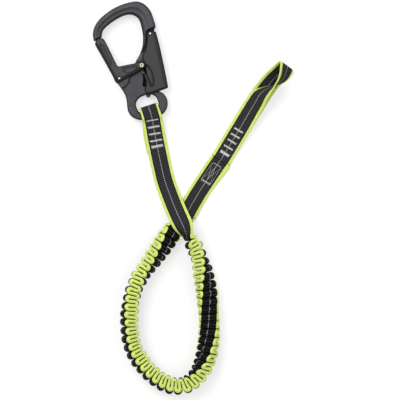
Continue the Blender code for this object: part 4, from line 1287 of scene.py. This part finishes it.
@dataclass
class LoopStrap:
    """The strap from the gathers to the sewn loop at the tether's far end, and back.

    On its way round the loop it rolls over by a half turn, which its solid leaves out. Each row of the
    path is a distance ahead of the thick tack, one to the right of it, a height and a roll in degrees.
    Each tack is a distance ahead and a depth.
    """

    route: Route
    tack: Pair = (0.093, -0.059)
    heading_deg: float = 58.8
    step: float = 0.0014
    width: float = 0.025
    thickness: float = 0.002
    end_thickness: float = 0.004
    swell: float = 0.012
    gap: float = 0.0006
    start_height: float = 0.0033
    start_roll: float = 3.0
    tacks: tuple[Pair, ...] = (
        (0.0084, 0.0023), (0.0167, 0.0023), (0.0247, 0.0023), (0.0324, 0.0023), (0.0, 0.0038))
    tack_width: float = 0.012
    tack_lift: float = 0.6
    box: Pair = (-0.041, -0.0165)
    box_width: float = 0.0125
    box_point: float = 0.004
    box_stitch: float = 0.0026
    box_low_depth: float = 0.0028
    box_high_depth: float = 0.001
    box_high_share: float = 0.8
    box_thread: float = 0.9
    edge_spread: float = -0.0026
    spread_marks: Triple = (-0.045, -0.012, -0.006)
    path: tuple[tuple[float, float, float, float], ...] = (
        (-0.077, -0.0021, 0.0022, 0), (-0.067, -0.0023, 0.0014, 0), (-0.055, -0.0024, 0.0011, 0),
        (-0.04, -0.0019, 0.0011, 0), (-0.02, -0.001, 0.0011, 0), (0.0, 0.0, 0.0011, 0),
        (0.012, 0.0, 0.0011, 0), (0.024, 0.0, 0.0011, 0), (0.042, 0.0, 0.0014, 1),
        (0.058, 0.0, 0.002, 4), (0.072, 0.0004, 0.0031, 9), (0.09, 0.0012, 0.0047, 16),
        (0.107, 0.0036, 0.0062, 23), (0.118, 0.0062, 0.0076, 30), (0.1245, 0.0076, 0.0088, 34),
        (0.1276, 0.0086, 0.0112, 37), (0.1268, 0.0098, 0.014, 41), (0.1215, 0.0114, 0.0152, 48),
        (0.1145, 0.0126, 0.0156, 60), (0.1065, 0.0114, 0.016, 76), (0.1005, 0.0088, 0.0162, 92),
        (0.0955, 0.0062, 0.0166, 108), (0.0895, 0.0028, 0.0167, 124), (0.082, 0.0, 0.0155, 143),
        (0.072, -0.0002, 0.012, 155), (0.059, -0.0002, 0.0089, 161), (0.042, 0.0, 0.0062, 168),
        (0.024, 0.0, 0.0044, 176), (0.011, 0.0, 0.0036, 179.5), (0.0, 0.0, 0.0034, 180),
        (-0.0088, 0.0, 0.0034, 180),
    )

    def lay(self) -> Ribbon:
        """Lay out the line that the strap follows.

        Returns:
            The ribbon, from the gathers round the end loop to the tail's end.
        """
        heading = math.radians(self.heading_deg)
        ahead = np.array([math.cos(heading), math.sin(heading)])
        right = np.array([ahead[1], -ahead[0]])
        origin = np.array(self.route.eye) + np.array(self.tack)
        start, toward = self.route.read([self.route.length()])
        first = start[0] + toward[0] * self.gap - origin
        begin = (first @ ahead, first @ right, self.start_height, self.start_roll)
        rows = spaced([begin, *self.path], self.step, 3)
        floor = origin + rows[:, :1] * ahead + rows[:, 1:2] * right
        sides = sides_of(np.tile(ahead, (len(rows), 1)), rows[:, 3])
        return Ribbon(np.column_stack([floor, rows[:, 2]]), sides, rows[:, 0])

    def sew(self, ribbon: Ribbon, tip: int) -> bpy.types.Object:
        """Sew the bar-tacks, on both faces.

        Args:
            ribbon: the line that the strap follows.
            tip: its row at the loop's tip.

        Returns:
            The thread.
        """
        stitches, lines, last = Stitches(ribbon), [], len(ribbon.centres)
        lift = self.thickness / 2 + stitches.radius * self.tack_lift
        runs = (((tip, last), (tip + 3 * last) // 4, Side.TOP), ((0, tip), tip // 3, Side.UNDER))
        for run, middle, face in runs:
            up = ribbon.upward(middle) * face.value
            lines += stitches.bars(self.tacks, run, lift * up, self.tack_width)
        return tube_along("loop_bar_tacks", lines, stitches.radius)

    def sew_box(self, ribbon: Ribbon, tip: int) -> bpy.types.Object:
        """Sew the box stitch beside the tail: a closed row, and two that come to points in it.

        Args:
            ribbon: the line that the strap follows.
            tip: its row at the loop's tip.

        Returns:
            The thread.
        """
        stitches, wide = Stitches(ribbon), self.box_width / 2
        low, high = (ribbon.spot_of(mark, 0, tip) for mark in self.box)
        lift = (self.thickness / 2 + stitches.radius * self.tack_lift) * ribbon.upward(tip // 4)
        rows = (
            ((-wide, low), (-wide, high), (wide, high), (wide, low), (-wide, low)),
            ((-wide, low), (0.0, high - self.box_point), (wide, low)),
            ((-wide, high), (0.0, low + self.box_point), (wide, high)),
        )
        threads = [
            stitches.bar(low, lift, self.box_width, self.box_low_depth),
            stitches.bar(high, lift, self.box_width * self.box_high_share, self.box_high_depth),
        ]
        for row in rows:
            for start, stop in zip(row, row[1:]):
                threads += stitches.row(start, stop, lift, self.box_stitch)
        return tube_along("loop_box_stitch", threads, stitches.radius * self.box_thread)

    def build(self) -> None:
        ribbon = self.lay()
        tip = int(np.argmax(ribbon.marks))
        thick = np.interp(ribbon.along, [0.0, self.swell], [self.end_thickness, self.thickness])
        # Past its tail's end the strap under it lies flattened, and its edge spreads to one side
        near = self.edge_spread * np.interp(ribbon.marks, self.spread_marks, [0.0, 1.0, 0.0])
        near[tip:] = 0.0
        widths = np.full(len(thick), self.width)
        strap = Strap("loop_strap_webbing", ribbon, widths, thick, spread=near).weave()
        strap.data.materials.append(STRAP_WEBBING.material())
        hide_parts("loop_strap")
        tacks, box = self.sew(ribbon, tip), self.sew_box(ribbon, tip)
        tacks.data.materials.append(BAR_THREAD.material())
        box.data.materials.append(BOX_THREAD.material())
        for thing in (strap, tacks, box):
            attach(thing, Part.TETHER.value)
        # The cord's line is measured from past the thick end that is sewn to the gathers
        log.info("loop strap: %.0f mm in all", ribbon.along[-1] / MM)


# The hook


def in_hook(eye: Pair, spots: np.ndarray) -> np.ndarray:
    """Place points that are given in the leaning hook, from its eye and up from the floor.

    Args:
        eye: the middle of the hook's eye on the floor.
        spots: one row for each point, along the hook's width, its length, and upwards.

    Returns:
        The points, one in each row.
    """
    turn = math.radians(HOOK_TURN_DEG)
    x, y, z = np.asarray(spots, float).T
    return np.column_stack([
        eye[0] + x * math.cos(turn) - y * math.sin(turn),
        eye[1] + x * math.sin(turn) + y * math.cos(turn),
        z,
    ])


@dataclass
class GateSpring:
    """The torsion spring round the gate pin, with one leg on the gate's back and one on the frame."""

    eye: Pair
    pivot: Pair = (-0.0208, 0.0401)
    radius: float = 0.0033
    wire: float = 0.0004
    turns: int = 3
    steps: int = 24
    gate_leg: tuple[Pair, ...] = ((-0.00675, 0.019), (-0.00525, 0.0095), (-0.00445, 0.0056))
    frame_leg: Pair = (-0.0033, 0.0033)

    def build(self) -> None:
        """Wind the spring in the place of its solid, from leg to leg."""
        node = frame["nodes"]["gate_spring"]
        heights = [(node.matrix_world @ corner.co).z for corner in node.data.vertices]
        low, high = min(heights) + self.wire, max(heights) - self.wire
        x, y = self.pivot
        rows = [(x + a, y + b, high) for a, b in self.gate_leg]
        for share in np.linspace(0.0, 1.0, self.turns * self.steps + 1):
            angle = math.pi - 2 * math.pi * self.turns * share
            height = high + (low - high) * share
            rows.append((x + self.radius * math.cos(angle), y + self.radius * math.sin(angle), height))
        rows.append((x + self.frame_leg[0], y + self.frame_leg[1], low))
        line = in_hook(self.eye, np.array(rows))
        thing = tube_along("gate_spring_coil", [line], self.wire)
        thing.data.materials.append(SPRING.material())
        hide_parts("gate_spring")
        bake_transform(thing)
        log.info("gate spring: %d turns", self.turns)


@dataclass
class LeverSpring:
    """The compression spring between the frame and the palm lever: squeezing the lever shortens it."""

    eye: Pair
    height: float = 0.026
    radius: float = 0.0022
    wire: float = 0.0004
    turns: int = 7
    steps: int = 20
    end_turns: float = 0.045
    travel: float = 0.0081

    def build(self) -> None:
        """Wind the spring in the place of its solid, with closed end turns."""
        turn = math.radians(HOOK_TURN_DEG)
        ahead = np.array([math.cos(turn), math.sin(turn)])
        node = frame["nodes"]["lever_spring"]
        spots = np.array([node.matrix_world @ corner.co for corner in node.data.vertices])
        reach = (spots[:, :2] - np.array(self.eye)) @ ahead
        low, high = float(reach.min()), float(reach.max())
        middle = float(spots[:, 2].min() + spots[:, 2].max()) / 2
        shares = np.linspace(0.0, 1.0, self.turns * self.steps + 1)
        angles = 2 * math.pi * self.turns * shares
        # The first and last turns lie closer, as ground ends do
        closer = shares - self.end_turns * np.sin(2 * math.pi * shares)
        along = low + self.wire + (high - low - 2 * self.wire) * closer
        line = in_hook(self.eye, np.column_stack([
            along, self.height + self.radius * np.cos(angles), middle + self.radius * np.sin(angles)]))
        thing = tube_along("lever_spring_coil", [line], self.wire)
        thing.data.materials.append(SPRING.material())
        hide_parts("lever_spring")
        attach(thing, Part.HOOK.value)
        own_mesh(thing)
        pressed = high - low - self.travel
        log.info("lever spring: %.1f mm, pressed to %.1f mm", (high - low) / MM, pressed / MM)


@dataclass
class GateTail:
    """A tail on the gate's far cheek, which closes the rivet's slot as it is seen from above: a sheet that
    stands in for the shade in the slot, where the floor would show through.
    """

    eye: Pair
    sheet: float = 0.0013
    rounding: float = 0.00025
    steps: int = 6
    outline: tuple[Pair, ...] = (
        (0.0076, 0.0448), (0.0079, 0.0412), (0.0082, 0.0372), (0.0086, 0.0338), (0.0101, 0.0318),
        (0.0124, 0.0316), (0.0139, 0.0332), (0.0141, 0.0362), (0.0138, 0.0402), (0.0132, 0.0446),
    )

    def build(self) -> None:
        """Cut the tail and fix it to the gate, level with its far cheek."""
        corners = np.array([*self.outline, self.outline[0]])
        marks = np.arange(len(corners), dtype=float)
        spots = np.linspace(0.0, marks[-1], len(self.outline) * self.steps + 1)[:-1]
        flat = curve_through(corners, marks, spots)
        middle = flat.mean(axis=0)
        reach = np.linalg.norm(flat - middle, axis=1)[:, None]
        inner = middle + (flat - middle) * (1 - self.rounding / reach)
        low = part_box("gate_lever")[0][2] + self.rounding / 4
        levels = (
            (inner, 0.0), (flat, self.rounding), (flat, self.sheet - 2 * self.rounding),
            (inner, self.sheet - self.rounding),
        )
        rings = [
            in_hook(self.eye, np.column_stack([ring, np.full(len(ring), low + height)]))
            for ring, height in levels]
        thing = mesh_object("gate_tail", np.concatenate(rings), skin_faces(len(rings), len(flat)))
        thing.data.materials.append(GATE_ANODISED.material())
        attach(thing, Part.GATE.value)
        log.info("gate tail")


@dataclass
class HookDress:
    """Finishes for the hook's solids and for the elastic in the gathers."""

    finishes: tuple[tuple[str, MetalFinish], ...] = (
        ("hook_frame", ANODISED), ("gate_lever", GATE_ANODISED), ("palm_lever", PALM_ANODISED),
        ("gate_pin", STEEL), ("lever_pin", STEEL), ("lock_bush", STEEL), ("lock_rivet", RIVET),
        ("elastic_core", FLAT_ELASTIC),
    )

    def build(self) -> None:
        """Give each solid its finish, in all its slots."""
        for node, finish in self.finishes:
            for slot in frame["nodes"][node].material_slots:
                slot.material = finish.material()
            log.info("%s: %s", node, finish.name)


def middle_of_eye() -> Pair:
    """Find the middle of the hook's eye from the joint at its bar.

    Returns:
        Its place on the floor.
    """
    tilt = next(joint for joint in frame["joints"] if joint["name"] == "hook_tilt")
    turn = math.radians(HOOK_TURN_DEG)
    x, y = tilt["pos_m"][:2]
    return x - math.sin(turn) * EYE_BAR_DROP, y + math.cos(turn) * EYE_BAR_DROP


def main() -> None:
    """Build the studio, the webbing and the hook's finishes."""
    logging.basicConfig(level=logging.INFO, format="%(name)s: %(message)s")
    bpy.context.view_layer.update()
    eye = middle_of_eye()
    route = Route(eye)
    Studio((eye[0] + PICTURE_FROM_EYE[0], eye[1] + PICTURE_FROM_EYE[1])).build()
    HookStrap(route).build()
    Gathers(route).build()
    LoopStrap(route).build()
    GateTail(eye).build()
    GateSpring(eye).build()
    LeverSpring(eye).build()
    HookDress().build()


if __name__ == "__main__":
    main()
